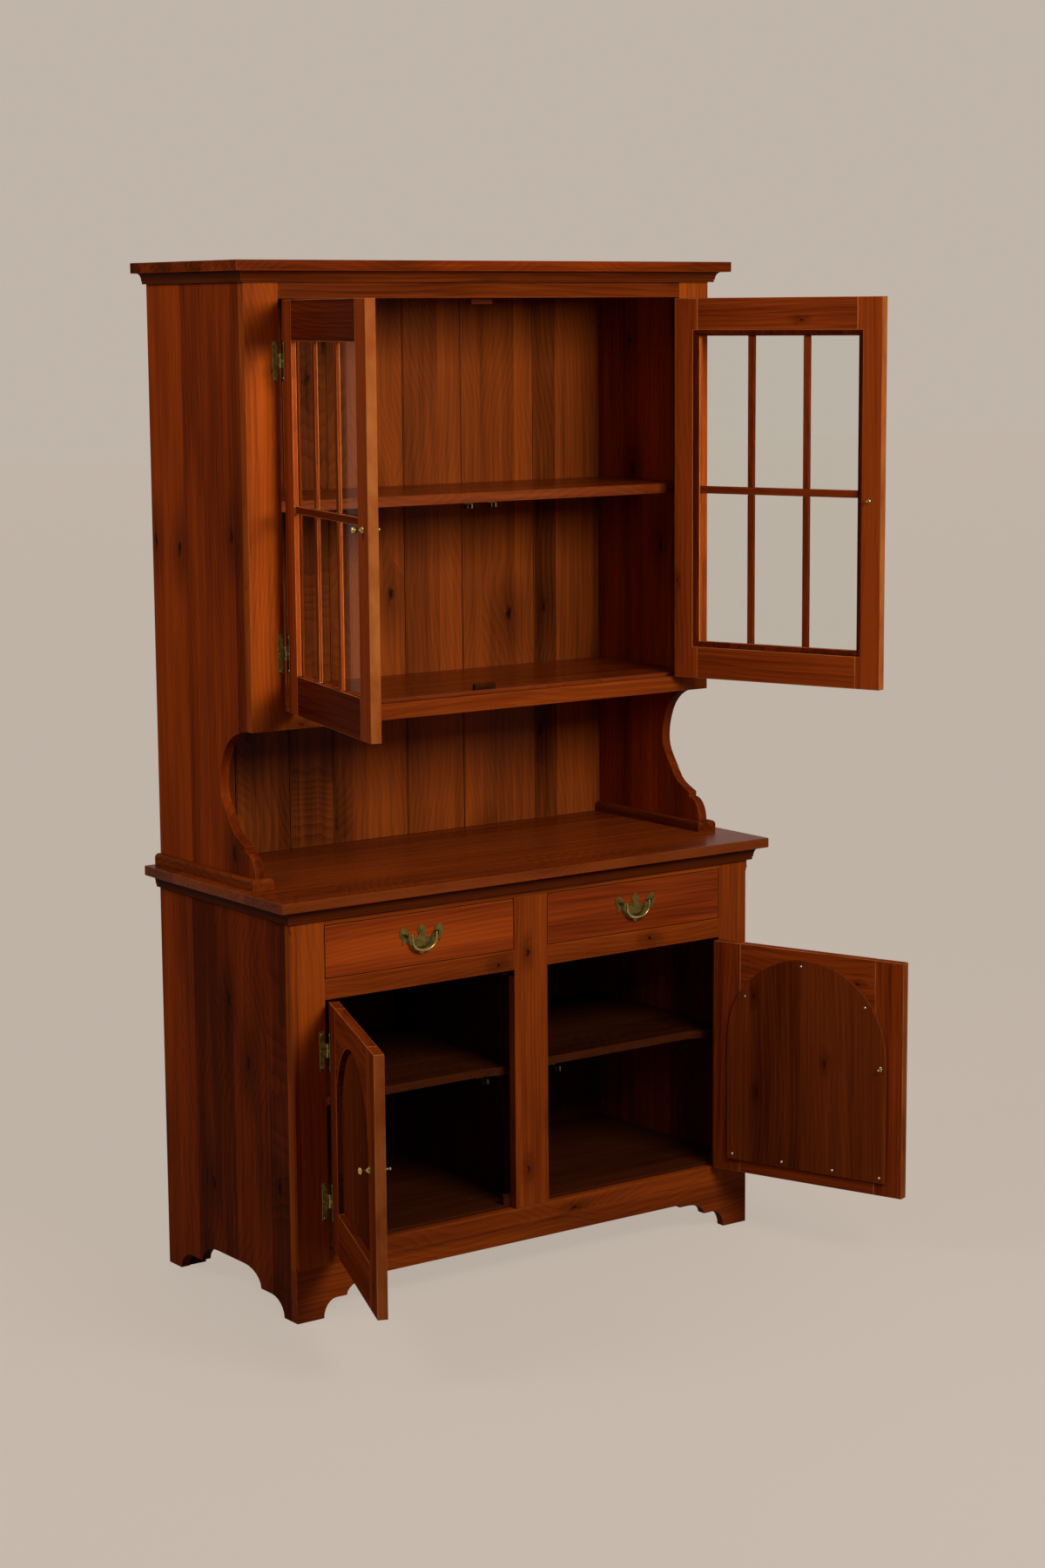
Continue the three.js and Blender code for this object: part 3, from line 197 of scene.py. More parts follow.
def make_grain_group():
    """Figure of a stained board glued up from staves: each stave has its own tone and its own grain."""
    tree, w, gin, gout = group_of("stained_grain", {
        "Vector": "NodeSocketVector", "Tone": 0.5, "Stave Width": 0.11, "Stave Strength": 0.0,
        "Ring Spacing": 0.011, "Ring Strength": 0.2, "Fibre Strength": 0.6, "Patch Strength": 0.36,
        "Tone Strength": 0.3,
    }, ("Shade", "Fibre", "Pores"))
    place = w.math("DIVIDE", w.parts(gin["Vector"])[0], gin["Stave Width"])
    stave = w.node("ShaderNodeTexVoronoi", {"W": place, "Scale": 1.0, "Randomness": 0.9},
                   voronoi_dimensions="1D").outputs["Color"]
    moved_on = w.stretched(stave, (0.4, 0.09, 3.0))
    vector = w.first("ShaderNodeVectorMath", {0: gin["Vector"], 1: moved_on}, operation="ADD")
    drift = w.times(w.minus(w.noise(w.stretched(vector, (4, 4, 1.1))), 0.5), 0.12)
    slope = w.times(w.minus(w.noise(w.stretched(vector, (0.6, 0.6, 1.9))), 0.5), 0.5)
    parts = w.parts(vector)
    reach = w.joined(w.plus(parts[0], drift), w.plus(w.plus(parts[1], slope), 0.05))
    length = w.node("ShaderNodeVectorMath", {0: reach}, operation="LENGTH").outputs["Value"]
    turns = w.math("DIVIDE", length, gin["Ring Spacing"])
    ripple = w.times(w.noise(w.stretched(vector, (40, 40, 2.5))), 0.9)
    ring = w.math("POWER", w.math("FRACT", w.plus(turns, ripple)), 1.8)
    fibre = w.ranged(w.noise(w.stretched(vector, (330, 330, 6)), 4, 0.65), 0.28, 0.72)
    coarse = w.ranged(w.noise(w.stretched(vector, (70, 70, 1.3)), 3, 0.6), 0.3, 0.7)
    patch = w.ranged(w.noise(w.stretched(vector, (13, 13, 1.5)), 3, 0.6), 0.3, 0.7)
    pores = w.ranged(w.noise(w.stretched(vector, (900, 900, 24)), 1), 0.62, 0.72)
    mixed = w.plus(w.times(fibre, 0.4), w.times(coarse, 0.6))
    shade = w.times(w.minus(0.35, ring), gin["Ring Strength"])
    leanings = {"Fibre": mixed, "Patch": patch, "Stave": w.parts(stave)[0], "Tone": gin["Tone"]}
    for label, value in leanings.items():
        shade = w.plus(shade, w.times(w.minus(value, 0.5), gin[label + " Strength"]))
    w.fill(gout, {"Shade": w.plus(shade, 0.5, clamp=True), "Fibre": fibre, "Pores": pores})
    return tree


def make_wear_group():
    """Finish rubbed thin along the arrises, in broken stretches, and a painted highlight along them."""
    tree, w, gin, gout = group_of("edge_wear_and_highlight", {
        "Vector": "NodeSocketVector", "Arris": 0.0, "Amount": 0.5}, ("Mask",))
    broken = w.ranged(w.noise(w.stretched(gin["Vector"], (18, 18, 9)), 3, 0.6), 0.34, 0.62, 0.35, 1.0)
    w.fill(gout, {"Mask": w.times(w.times(gin["Arris"], broken), gin["Amount"], clamp=True)})
    return tree


def make_knot_group():
    """Small dark knots, scattered thinly, each with a feathered streak of darker grain at either end."""
    tree, w, gin, gout = group_of("knots", {
        "Vector": "NodeSocketVector", "Spacing": 7.0, "Size": 0.05}, ("Mask",))
    swirl = w.node("ShaderNodeTexNoise", {"Vector": gin["Vector"], "Scale": 60.0, "Detail": 2.0})
    push, parts = w.parts(swirl.outputs["Color"]), w.parts(gin["Vector"])
    across = w.plus(parts[0], w.times(push[0], 0.016))
    along = w.plus(w.times(parts[2], 0.42), w.times(push[1], 0.012))
    place = {"Vector": w.joined(across, along), "Scale": gin["Spacing"], "Randomness": 1.0}
    cells = w.node("ShaderNodeTexVoronoi", place, voronoi_dimensions="2D").outputs
    present = w.math("GREATER_THAN", w.parts(cells["Color"])[0], 0.4)
    masks = [w.ranged(cells["Distance"], w.times(gin["Size"], size), 0.0, 0.0, strength,
                      interpolation_type="SMOOTHSTEP") for size, strength in ((1.0, 1.0), (3.6, 0.5))]
    w.fill(gout, {"Mask": w.times(w.math("MAXIMUM", *masks, clamp=True), present)})
    return tree


def make_patina_group():
    """Brass with a darker film in cloudy patches, and the places where it is rubbed."""
    tree, w, gin, gout = group_of("brass_patina", {
        "Vector": "NodeSocketVector", "Arris": 0.0}, ("Film", "Rub"))
    cloud = w.noise(w.stretched(gin["Vector"], (90, 90, 90)), 4, 0.6)
    fine = w.noise(w.stretched(gin["Vector"], (600, 600, 600)))
    rubbed = w.plus(w.times(gin["Arris"], 0.8), w.times(fine, 0.25), clamp=True)
    w.fill(gout, {"Film": w.ranged(cloud, 0.40, 0.66), "Rub": rubbed})
    return tree


GRAIN = make_grain_group()
WEAR_AND_HIGHLIGHT_GROUP = make_wear_group()
KNOTS = make_knot_group()
PATINA = make_patina_group()

KNOT_COLOUR = "240b03"


def srgb(text):
    """A linear colour from six hex digits."""
    values = [int(text[i:i + 2], 16) / 255 for i in (0, 2, 4)]
    return tuple(v / 12.92 if v <= 0.04045 else ((v + 0.055) / 1.055) ** 2.4 for v in values) + (1.0,)


def new_material(name):
    """A material with its wiring and its shader."""
    made = bpy.data.materials.new(name)
    made.use_nodes = True
    return made, Wiring(made.node_tree), made.node_tree.nodes["Principled BSDF"]


def attribute(w, name, output):
    return w.node("ShaderNodeAttribute", attribute_name=name, attribute_type="GEOMETRY").outputs[output]


def stained_wood(name, dark, middle, light, rubbed, rough=0.34, coat=0.2, staves=0.0, width=0.11, rings=0.2,
                 patch=0.36, tone=0.3, rub_and_highlight=0.5, knots=0.0, sheen=0.02):
    """Stained and lacquered wood in three depths of colour, paler where the arrises are rubbed and carry a
    painted highlight.
    """
    made, w, shader = new_material(name)
    vector = attribute(w, "grain", "Vector")
    figure = w.node("ShaderNodeGroup", {
        "Vector": vector, "Tone": attribute(w, "tone", "Fac"), "Stave Width": width,
        "Stave Strength": staves, "Ring Strength": rings, "Patch Strength": patch,
        "Tone Strength": tone}, node_tree=GRAIN).outputs
    ramp = w.node("ShaderNodeValToRGB", {"Fac": figure["Shade"]})
    ramp.color_ramp.elements[0].color = srgb(dark)
    ramp.color_ramp.elements[1].color = srgb(light)
    ramp.color_ramp.elements.new(0.5).color = srgb(middle)
    colour = ramp.outputs["Color"]
    if knots:
        marks = w.first("ShaderNodeGroup", {"Vector": vector, "Size": knots}, node_tree=KNOTS)
        colour = w.mixed(marks, colour, srgb(KNOT_COLOUR))
    # The arrises are paled: rubbed finish and a painted highlight.
    worn_and_highlit = w.first("ShaderNodeGroup", {
        "Vector": vector, "Arris": attribute(w, "arris", "Fac"), "Amount": rub_and_highlight}, node_tree=WEAR_AND_HIGHLIGHT_GROUP)
    height = w.minus(w.times(figure["Fibre"], 0.5), figure["Pores"])
    w.fill(shader.inputs, {
        "Base Color": w.mixed(worn_and_highlit, colour, srgb(rubbed)),
        "Roughness": w.ranged(figure["Fibre"], 0.0, 1.0, rough - 0.04, rough + 0.08),
        "Normal": w.first("ShaderNodeBump", {"Height": height, "Strength": 0.08, "Distance": 0.0006}),
        "Specular IOR Level": sheen, "Coat Weight": coat, "Coat Roughness": 0.22})
    return made


def antique_brass(name, bright, film, rough=0.26):
    """Brass between its bright colour and that of its film."""
    made, w, shader = new_material(name)
    aged = w.node("ShaderNodeGroup", {
        "Vector": w.node("ShaderNodeTexCoord").outputs["Object"],
        "Arris": attribute(w, "arris", "Fac")}, node_tree=PATINA).outputs
    amount = w.minus(w.times(aged["Film"], 0.8), aged["Rub"], clamp=True)
    w.fill(shader.inputs, {
        "Base Color": w.mixed(amount, srgb(bright), srgb(film)), "Metallic": 1.0,
        "Roughness": w.ranged(amount, 0.0, 1.0, rough, rough + 0.22)})
    return made


def clear_glass(name):
    """Thin clear pane with a faint waviness. Light passes it without a hard shadow."""
    made, w, shader = new_material(name)
    wave = w.noise(w.stretched(w.node("ShaderNodeTexCoord").outputs["Object"], (6, 6, 5)), 1)
    w.fill(shader.inputs, {
        "Base Color": (0.93, 0.96, 0.94, 1), "Roughness": 0.02, "IOR": 1.05, "Transmission Weight": 1.0,
        "Normal": w.first("ShaderNodeBump", {"Height": wave, "Strength": 0.05, "Distance": 0.002})})
    path = w.node("ShaderNodeLightPath").outputs
    mix = w.first("ShaderNodeMixShader", {
        0: path["Is Shadow Ray"], 1: shader.outputs[0], 2: w.first("ShaderNodeBsdfTransparent")})
    w.fill(w.tree.nodes["Material Output"].inputs, {"Surface": mix})
    return made


# The rubbed colour pales the arrises, for wear and as a painted highlight.
# Name, the dark, middle, light and rubbed colours, and the settings that differ from the usual
WOODS = {
    "side_wood": ("lacquered_side_boards", "5e1f03 91360b b94a0f a84c16", {
        "coat": 0.05, "staves": 0.68, "width": 0.13, "patch": 0.6, "tone": 0.9, "knots": 0.11,
        "sheen": 0.0}),
    "frame_wood": ("lacquered_frame_boards", "612507 953e11 c05616 b85c20", {
        "coat": 0.06, "patch": 0.48, "tone": 0.9, "knots": 0.05, "sheen": 0.0}),
    "door_wood": ("lacquered_door_boards", "4a1405 702709 a44414 d67e3e", {
        "coat": 0.03, "tone": 0.8, "rub_and_highlight": 0.85, "knots": 0.03, "sheen": 0.0}),
    "bar_wood": ("lacquered_glazing_bars", "431403 6b2408 a54412 9a4a1e", {
        "coat": 0.03, "tone": 0.8, "rub_and_highlight": 0.15, "sheen": 0.0}),
    "panel_wood": ("lacquered_panel_staves", "561f07 7c3411 9b4515 9a4e1e", {
        "coat": 0.04, "staves": 0.5, "width": 0.13, "knots": 0.035, "sheen": 0.0}),
    "drawer_wood": ("lacquered_drawer_fronts", "712706 a23f10 ca5515 b45a1e", {
        "coat": 0.1, "rings": 0.26, "patch": 0.5, "tone": 0.8}),
    "back_wood": ("lacquered_back_boards", "58250a 8c4117 b6551b b06028", {
        "coat": 0.12, "staves": 0.6, "width": 0.085, "rings": 0.22, "patch": 0.44, "tone": 0.6,
        "knots": 0.12, "sheen": 0.0}),
    "shelf_wood": ("lacquered_shelf_boards", "541b04 7a2e09 a44810 9c4c18", {
        "rough": 0.26, "coat": 0.35, "staves": 0.4, "width": 0.12, "rub_and_highlight": 0.3}),
    "top_wood": ("lacquered_worktop", "5d2005 89370e ae4b13 a8501a", {
        "rough": 0.24, "coat": 0.12, "staves": 0.36, "width": 0.14}),
    # Inner boards: the shade inside the bays is painted into their dark colour.
    "inner_wood": ("inner_boards_darkened_as_painted_shade", "2f1206 4c210d 5f2810 6c3418", {
        "rough": 0.5, "coat": 0.0, "staves": 0.3}),
    "box_wood": ("bare_drawer_boxes", "87623d 9f7747 b58c5b c09a6a", {
        "rough": 0.6, "coat": 0.0, "rub_and_highlight": 0.2}),
}
FINISH = {wood: stained_wood(name, *colours.split(), **settings)
          for wood, (name, colours, settings) in WOODS.items()}
FINISH.update({
    "brass": antique_brass("antique_brass", "9c8c5a", "54482a"),
    "bright_brass": antique_brass("rubbed_brass", "b8a468", "5e5030", rough=0.2),
    "plate_brass": antique_brass("darkened_plate_brass", "80703c", "3a3016", rough=0.3),
    "steel": antique_brass("bright_screw_metal", "cfc8b8", "a29a8a"),
    "glass": clear_glass("clear_pane_glass"),
})
# Finishes that share the slot of another
SLOT = dict.fromkeys(("door_wood", "bar_wood", "panel_wood", "drawer_wood", "shelf_wood"), "frame_wood")
SLOT.update({"box_wood": "inner_wood", "bright_brass": "brass", "plate_brass": "brass", "steel": "brass"})


# ---------- pieces ----------

def pin_of(door, open_by=0):
    """The pin of a door as an origin, with X along the door that stands open by some degrees."""
    turn = Matrix.Rotation(math.radians(-door["side"] * open_by), 4, "Z")
    return Matrix.Translation((*door["pin"], 0)) @ turn @ Matrix.Diagonal((door["side"], 1, 1, 1))


class Place:
    """Turns places measured in a frame of their own into places in the scene, and back."""

    def __init__(self, out):
        self.out = out
        self.back = out.inverted()


HERE = Place(Matrix.Identity(4))
DOOR_PLACES = {name: Place(pin_of(door, door["open"])) for name, door in DOORS.items()}

board_count = 0


def put_in_scene(name, data):
    """A new object that shows the given data."""
    made = bpy.data.objects.new(name, data)
    bpy.context.scene.collection.objects.link(made)
    return made


def tier_of(name):
    return "upper" if name.startswith("upper") else "lower"


def grain_place(order, place):
    """Turns a point into (across, through, along) the grain, moved on for each new board."""
    global board_count
    board_count += 1
    number = board_count
    shift = Vector((0.137 * (number % 11), 0.021 * (number % 7) - 0.06, 0.83 * (number % 13)))
    axes = ["xyz".index(letter) for letter in order]

    def placed(point):
        local = place.back @ point
        return Vector([local[axis] for axis in axes]) + shift

    return placed, (number * 0.618034) % 1.0


def even_normals(mesh, limit):
    """Corner normals led by the larger faces, so that a flat board stays flat beside its eased arrises."""
    around = [[] for _ in mesh.vertices]
    for face in mesh.polygons:
        for vert in face.vertices:
            around[vert].append((face.normal.copy(), face.area))
    corners = [None] * len(mesh.loops)
    for face in mesh.polygons:
        for loop in face.loop_indices:
            total = Vector((0, 0, 0))
            for normal, area in around[mesh.loops[loop].vertex_index]:
                if normal.dot(face.normal) > limit:
                    total += normal * area
            corners[loop] = total.normalized() if total.length > 0 else face.normal
    mesh.normals_split_custom_set(corners)


class Shell:
    """Faces gathered for one piece, with the grain, tone and arris that its finish reads."""

    def __init__(self):
        self.points, self.faces, self.grain, self.tone, self.arris = [], [], [], [], []

    def take(self, bm, order="xyz", place=HERE, tone=None, front=0.0):
        """Adds a bmesh. Faces marked ARRIS are arrises, and front is how far forward-facing faces are
        paled: rubbing and painted light.
        """
        placed, own_tone = grain_place(order, place)
        start = len(self.points)
        bm.verts.index_update()
        for vert in bm.verts:
            self.points.append(vert.co.copy())
            self.grain.append(placed(vert.co))
            self.tone.append(own_tone if tone is None else tone)
        for face in bm.faces:
            self.faces.append([start + v.index for v in face.verts])
            # Faces that look forward take the front share of the paling: wear and painted light.
            eased, ahead = face.material_index == ARRIS, face.normal.y < -0.7
            self.arris.append(1.0 if eased else front if ahead else 0.0)
        bm.free()
        return self

    def cut(self, node, rows, always=(), place=HERE, width=0.0013):
        """Adds the boards of one CAD node: a row is (cuts, order, tone) and perhaps how rubbed it is."""
        for cuts, order, *looks in rows:
            self.take(cut_board(node, [*cuts, *always], place, width), order, place, *looks)
        return self

    def piece(self, name, body, finish, replaced=(), smooth=38):
        mesh = bpy.data.meshes.new(name)
        mesh.from_pydata([tuple(p) for p in self.points], [], self.faces)
        for label, kind, domain, values in (
            ("grain", "FLOAT_VECTOR", "POINT", [c for g in self.grain for c in g]),
            ("tone", "FLOAT", "POINT", self.tone),
            ("arris", "FLOAT", "FACE", self.arris),
        ):
            layer = mesh.attributes.new(label, kind, domain)
            layer.data.foreach_set("vector" if kind == "FLOAT_VECTOR" else "value", values)
        mesh.materials.append(FINISH[finish])
        mesh.shade_smooth()
        mesh.update()
        even_normals(mesh, math.cos(math.radians(smooth)))
        made = put_in_scene(name, mesh)
        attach(made, body)
        if replaced:
            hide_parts(*([replaced] if isinstance(replaced, str) else replaced))
        SLOT.get(finish, finish)


def soften(bm, width, segments=2, angle=24):
    """Rounds every sharp edge a little and marks the new faces as arrises."""
    for face in bm.faces:
        face.material_index = 0
    sharp = [e for e in bm.edges if len(e.link_faces) == 2 and e.calc_face_angle(0) > math.radians(angle)]
    bmesh.ops.bevel(bm, geom=sharp, offset=width, segments=segments, profile=0.5, affect="EDGES",
                    clamp_overlap=False, material=ARRIS)
    bmesh.ops.recalc_face_normals(bm, faces=bm.faces)


def cut_board(node, cuts=(), place=HERE, width=0.0013, segments=2):
    """A board sliced from a CAD node: each cut is (point, direction taken away), as on a shut door."""
    bm = bmesh.new()
    bm.from_mesh(nodes[node].data)
    bmesh.ops.remove_doubles(bm, verts=bm.verts, dist=2e-5)
    turn = place.out.to_3x3()
    for point, away in cuts:
        bmesh.ops.bisect_plane(bm, geom=bm.verts[:] + bm.edges[:] + bm.faces[:], dist=1e-6,
                               plane_co=place.out @ Vector(point), plane_no=turn @ Vector(away),
                               clear_outer=True)
        bmesh.ops.holes_fill(bm, edges=[e for e in bm.edges if e.is_boundary], sides=0)
    bmesh.ops.dissolve_limit(bm, angle_limit=math.radians(0.5), verts=bm.verts, edges=bm.edges)
    bmesh.ops.recalc_face_normals(bm, faces=bm.faces)
    soften(bm, width, segments)
    return bm


def block(low, high):
    """A plain squared strip between two corners."""
    bm = bmesh.new()
    size = [b - a for a, b in zip(low, high)]
    middle = [(a + b) / 2 for a, b in zip(low, high)]
    bmesh.ops.create_cube(bm, size=1, matrix=Matrix.Translation(middle) @ Matrix.Diagonal((*size, 1)))
    return bm


def between(axis, low, high):
    """Two cuts that keep what lies between low and high along an axis."""
    along = Vector([float(letter == axis) for letter in "xyz"])
    return [(along * value, along * sign) for value, sign in ((low, -1), (high, 1)) if value is not None]


def whole(node, finish, order, width=0.0013, tone=None, front=0.0):
    """One board of the case as the CAD has it, with its arrises eased."""
    board = Shell().cut(node, [((), order, tone, front)], width=width)
    board.piece(node + "_board", "carcass", finish, node)


def make_board_with_stops(node, top, finish, edges):
    """A board whose CAD node also carries little door stops, which are blocks of their own here."""
    Shell().cut(node, [(between("z", None, top), "yzx")]).piece(node + "_board", "carcass", finish, node)
    rows = [(between("x", low, high), "yzx") for low, high in zip(edges, edges[1:])]
    stops = Shell().cut(node, rows, between("z", top + 0.0001, None), width=0.0008)
    stops.piece(node + "_door_stops", "carcass", "inner_wood")


def make_lower_case():
    """The boards, shelves, worktop and moulding of the lower case, then its face frame."""
    whole("lower_left_side", "side_wood", "yxz", tone=0.3)
    whole("lower_right_side", "side_wood", "yxz", tone=0.3)
    whole("front_skirt", "frame_wood", "zyx", tone=0.5)
    for node in ("rear_left_foot_block", "rear_right_foot_block", "lower_back"):
        whole(node, "inner_wood", "xyz")
    make_board_with_stops("bottom_board", 0.13795, "inner_wood", (-0.07, 0, 0.07))
    whole("partition", "inner_wood", "yxz")
    whole("dust_board", "inner_wood", "yzx")
    # The shelf fronts are paled: rubbed finish and painted light where light reaches the front of the dark
    # bays.
    whole("lower_left_shelf", "inner_wood", "yzx", front=0.8)
    whole("lower_right_shelf", "inner_wood", "yzx", front=0.8)
    whole("worktop", "top_wood", "yzx", 0.0022, tone=0.6, front=0.9)
    make_moulding("worktop_moulding", HALF_LOWER, FRONT_LOWER)
    make_lower_face_frame()


def make_lower_face_frame():
    """Outer stiles, mid stile, top and bottom rail and the rails under the drawers, with two door stops."""
    node = "lower_face_frame"
    inner, middle = HALF_LOWER - STILE, MID_STILE / 2
    low, high = LOWER_FRAME_HEIGHTS
    frame_back = FRONT_LOWER + FRAME_DEPTH
    span = between("x", -inner, inner)
    under_drawers = between("z", 0.6, 0.67)
    # Board tones are partly the wood's own and partly painted light: lighter on the left, where more light
    # falls.
    boards = Shell().cut(node, [
        (between("x", None, -inner), "xyz", 0.86),
        (between("x", inner, None), "xyz", 0.68),
        (between("x", -middle, middle) + between("z", low, high), "xyz", 0.66),
        (span + between("z", high, None), "zyx", 0.56),
        (span + between("z", None, low), "zyx", 0.5),
        (between("x", -inner, -middle) + under_drawers, "zyx", 0.56),
        (between("x", middle, inner) + under_drawers, "zyx", 0.56),
    ], between("y", None, frame_back))
    boards.piece("lower_frame_boards", "carcass", "frame_wood", node)
    rows = [(between("x", start, start + 0.1) + between("z", 0.59, 0.63), "yzx") for start in (-0.1, 0)]
    stops = Shell().cut(node, rows, between("y", frame_back + 0.0001, None))
    stops.piece("lower_door_stops", "carcass", "inner_wood")


def make_upper_case():
    """The boards, shelves and mouldings of the upper case, then its face frame and its back."""
    whole("upper_left_side", "side_wood", "yxz", tone=0.56)
    whole("upper_right_side", "side_wood", "yxz", tone=0.3)
    whole("top_board", "side_wood", "yzx", 0.0016, tone=0.08)
    make_board_with_stops("fixed_shelf", 1.14895, "shelf_wood", (-0.04, 0.04))
    whole("adjustable_shelf", "shelf_wood", "yzx")
    whole("left_foot_moulding", "frame_wood", "xzy", 0.0008)
    whole("right_foot_moulding", "frame_wood", "xzy", 0.0008)
    make_moulding("crown_moulding", HALF_UPPER, FRONT_UPPER)
    make_upper_face_frame()
    make_back()


def make_upper_face_frame():
    """Two stiles, the top and the bottom rail, with one door stop."""
    node = "upper_face_frame"
    inner = HALF_UPPER - STILE
    frame_back = FRONT_UPPER + FRAME_DEPTH
    span = between("x", -inner, inner)
    # Board tones are partly the wood's own and partly painted light and shade: stiles light, the top rail
    # dark.
    boards = Shell().cut(node, [
        (between("x", None, -inner), "xyz", 0.76),
        (between("x", inner, None), "xyz", 0.8),
        (span + between("z", 1.5, None), "zyx", 0.2),
        (span + between("z", None, 1.5), "zyx", 0.36),
    ], between("y", None, frame_back))
    boards.piece("upper_frame_boards", "carcass", "frame_wood", node)
    row = (between("z", 1.89, 1.94) + between("x", -0.05, 0.05), "yzx")
    stop = Shell().cut(node, [row], between("y", frame_back + 0.0001, None))
    stop.piece("upper_door_stop", "carcass", "inner_wood")


def make_back():
    """Boards of uneven widths, a tongue behind each joint, and the bead that one board has there, pale as a
    painted highlight.
    """
    edges = [None] + BACK_JOINTS + [None]
    rows = []
    for low, high, tone in zip(edges, edges[1:], BACK_TONES):
        start = None if low is None else low + JOINT_GAP / 2
        end = None if high is None else high - JOINT_GAP / 2
        rows.append((between("x", start, end), "xyz", tone))
    staves = Shell().cut("back_boards", rows, width=0.0014)
    staves.piece("back_staves", "carcass", "back_wood", "back_boards")
    bottom, top = BACK_HEIGHTS
    tongues = Shell()
    for joint in BACK_JOINTS:
        tongues.take(block((joint - 0.004, BACK - 0.0125, bottom), (joint + 0.004, BACK - 0.0045, top)))
    tongues.piece("back_tongues", "carcass", "inner_wood")
    beads = Shell()
    for joint in BACK_JOINTS:
        bead = block((joint + 0.0001, BACK - BACK_BOARD + 0.0006, bottom),
                     (joint + 0.0013, BACK - 0.0115, top))
        soften(bead, 0.0005)
        # A pale tone paints the bead's highlight.
        beads.take(bead, tone=0.9)
    beads.piece("back_joint_beads", "carcass", "back_wood")


def make_moulding(node, half, front):
    """A moulding in three runs that meet in mitres at the front corners."""
    slant = 1 / math.sqrt(2)
    left, right = (-half, front, 0), (half, front, 0)
    runs = Shell().cut(node, [
        ([(right, (slant, slant, 0)), (left, (-slant, slant, 0))], "zyx", FRONT_RUN_TONE),
        # The returns take a darker tone: painted shade.
        ([(right, (-slant, -slant, 0)), ((0, 0, 0), (-1, 0, 0))], "zxy", RETURN_SHADE_TONE),
        ([(left, (slant, -slant, 0)), ((0, 0, 0), (1, 0, 0))], "zxy", RETURN_SHADE_TONE),
    ], width=0.0006)
    runs.piece(node + "_runs", "carcass", "frame_wood", node)


# ---------- doors ----------

def mitred_loop(x0, x1, z0, z1, profile):
    """Strips round a rectangle with mitred corners. The profile is (reach inward, depth) points."""
    bm = bmesh.new()
    corners = [(x0, z0, 1, 1), (x1, z0, -1, 1), (x1, z1, -1, -1), (x0, z1, 1, -1)]
    rings = [[bm.verts.new((x + sx * reach, depth, z + sz * reach)) for reach, depth in profile]
             for x, z, sx, sz in corners]
    count = len(profile)
    for i in range(4):
        for j in range(count):
            k = (j + 1) % count
            bm.faces.new((rings[i][j], rings[i][k], rings[(i + 1) % 4][k], rings[(i + 1) % 4][j]))
    bmesh.ops.recalc_face_normals(bm, faces=bm.faces)
    return bm


def moved(bm, place):
    """The bmesh carried from the shut door to the open one."""
    bm.transform(place.out)
    bmesh.ops.recalc_face_normals(bm, faces=bm.faces)
    return bm


def make_door_boards(name):
    """The two stiles of a door and the rails between them. Gives the corners of what they leave open."""
    door, place, tier, body = DOORS[name], DOOR_PLACES[name], tier_of(name), name + "_door"
    left, right = DOOR_START + DOOR_STILE[tier], DOOR_END[tier] - DOOR_STILE[tier]
    low, high = RAIL_CUTS[tier]
    # These tones are partly the wood's own and partly painted light and shade.
    stile_tone, rail_tone = door["tones"]
    span = between("x", left, right)
    boards = Shell().cut(body + "_frame", [
        (between("x", None, left), "xyz", stile_tone),
        # The free-edge stile is a little lighter and paled on its forward face: painted highlight as well
        # as wear.
        (between("x", right, None), "xyz", stile_tone + 0.08, FREE_EDGE_WEAR_AND_HIGHLIGHT[tier]),
        (span + between("z", None, low), "zyx", rail_tone),
        (span + between("z", high, None), "zyx", rail_tone + 0.06),
    ], place=place)
    boards.piece(body + "_frame_boards", body, "door_wood", body + "_frame")
    return left, right, low, high


def make_upper_door(name):
    """A glazed door: its frame, the bars of its six lights, its pane and the beads round the pane."""
    left, right, low, high = make_door_boards(name)
    place, body = DOOR_PLACES[name], name + "_door"
    column = (right - left - 2 * BAR) / 3
    row = (high - low - BAR) / 2
    # The right door's bars are darker as painted shade, the left door's lighter as painted light.
    finish, tone = DOORS[name]["bars"]
    rows = [(between("x", left, right) + between("z", low + row, low + row + BAR), "zyx", tone)]
    for i in (1, 2):
        start = left + i * column + (i - 1) * BAR
        upright = between("x", start, start + BAR)
        rows.append((upright + between("z", low, low + row), "xyz", tone))
        rows.append((upright + between("z", low + row + BAR, high), "xyz", tone))
    bars = Shell().cut(body + "_frame", rows, place=place, width=0.0016)
    bars.piece(body + "_bars", body, finish)
    face = SHOULDER + 0.0036
    profile = [(0.0004, face), (0.0108, face), (0.0108, face + 0.0012), (0.0050, DOOR_BACK - 0.0008),
               (0.0004, DOOR_BACK - 0.0006)]
    loop = mitred_loop(left - RABBET, right + RABBET, low - RABBET, high + RABBET, profile)
    Shell().take(moved(loop, place), "xyz", place).piece(body + "_beads", body, "door_wood")
    pane = nodes[body + "_glass"].data
    pane.materials.clear()
    pane.materials.append(FINISH["glass"])


def make_lower_door(name):
    """A solid door: its arched frame, and the panel screwed to its back."""
    make_door_boards(name)
    panel = name + "_door_panel"
    board = Shell().cut(panel, [((), "xyz")], place=DOOR_PLACES[name], width=0.0011)
    board.piece(panel + "_board", name + "_door", "panel_wood", panel)


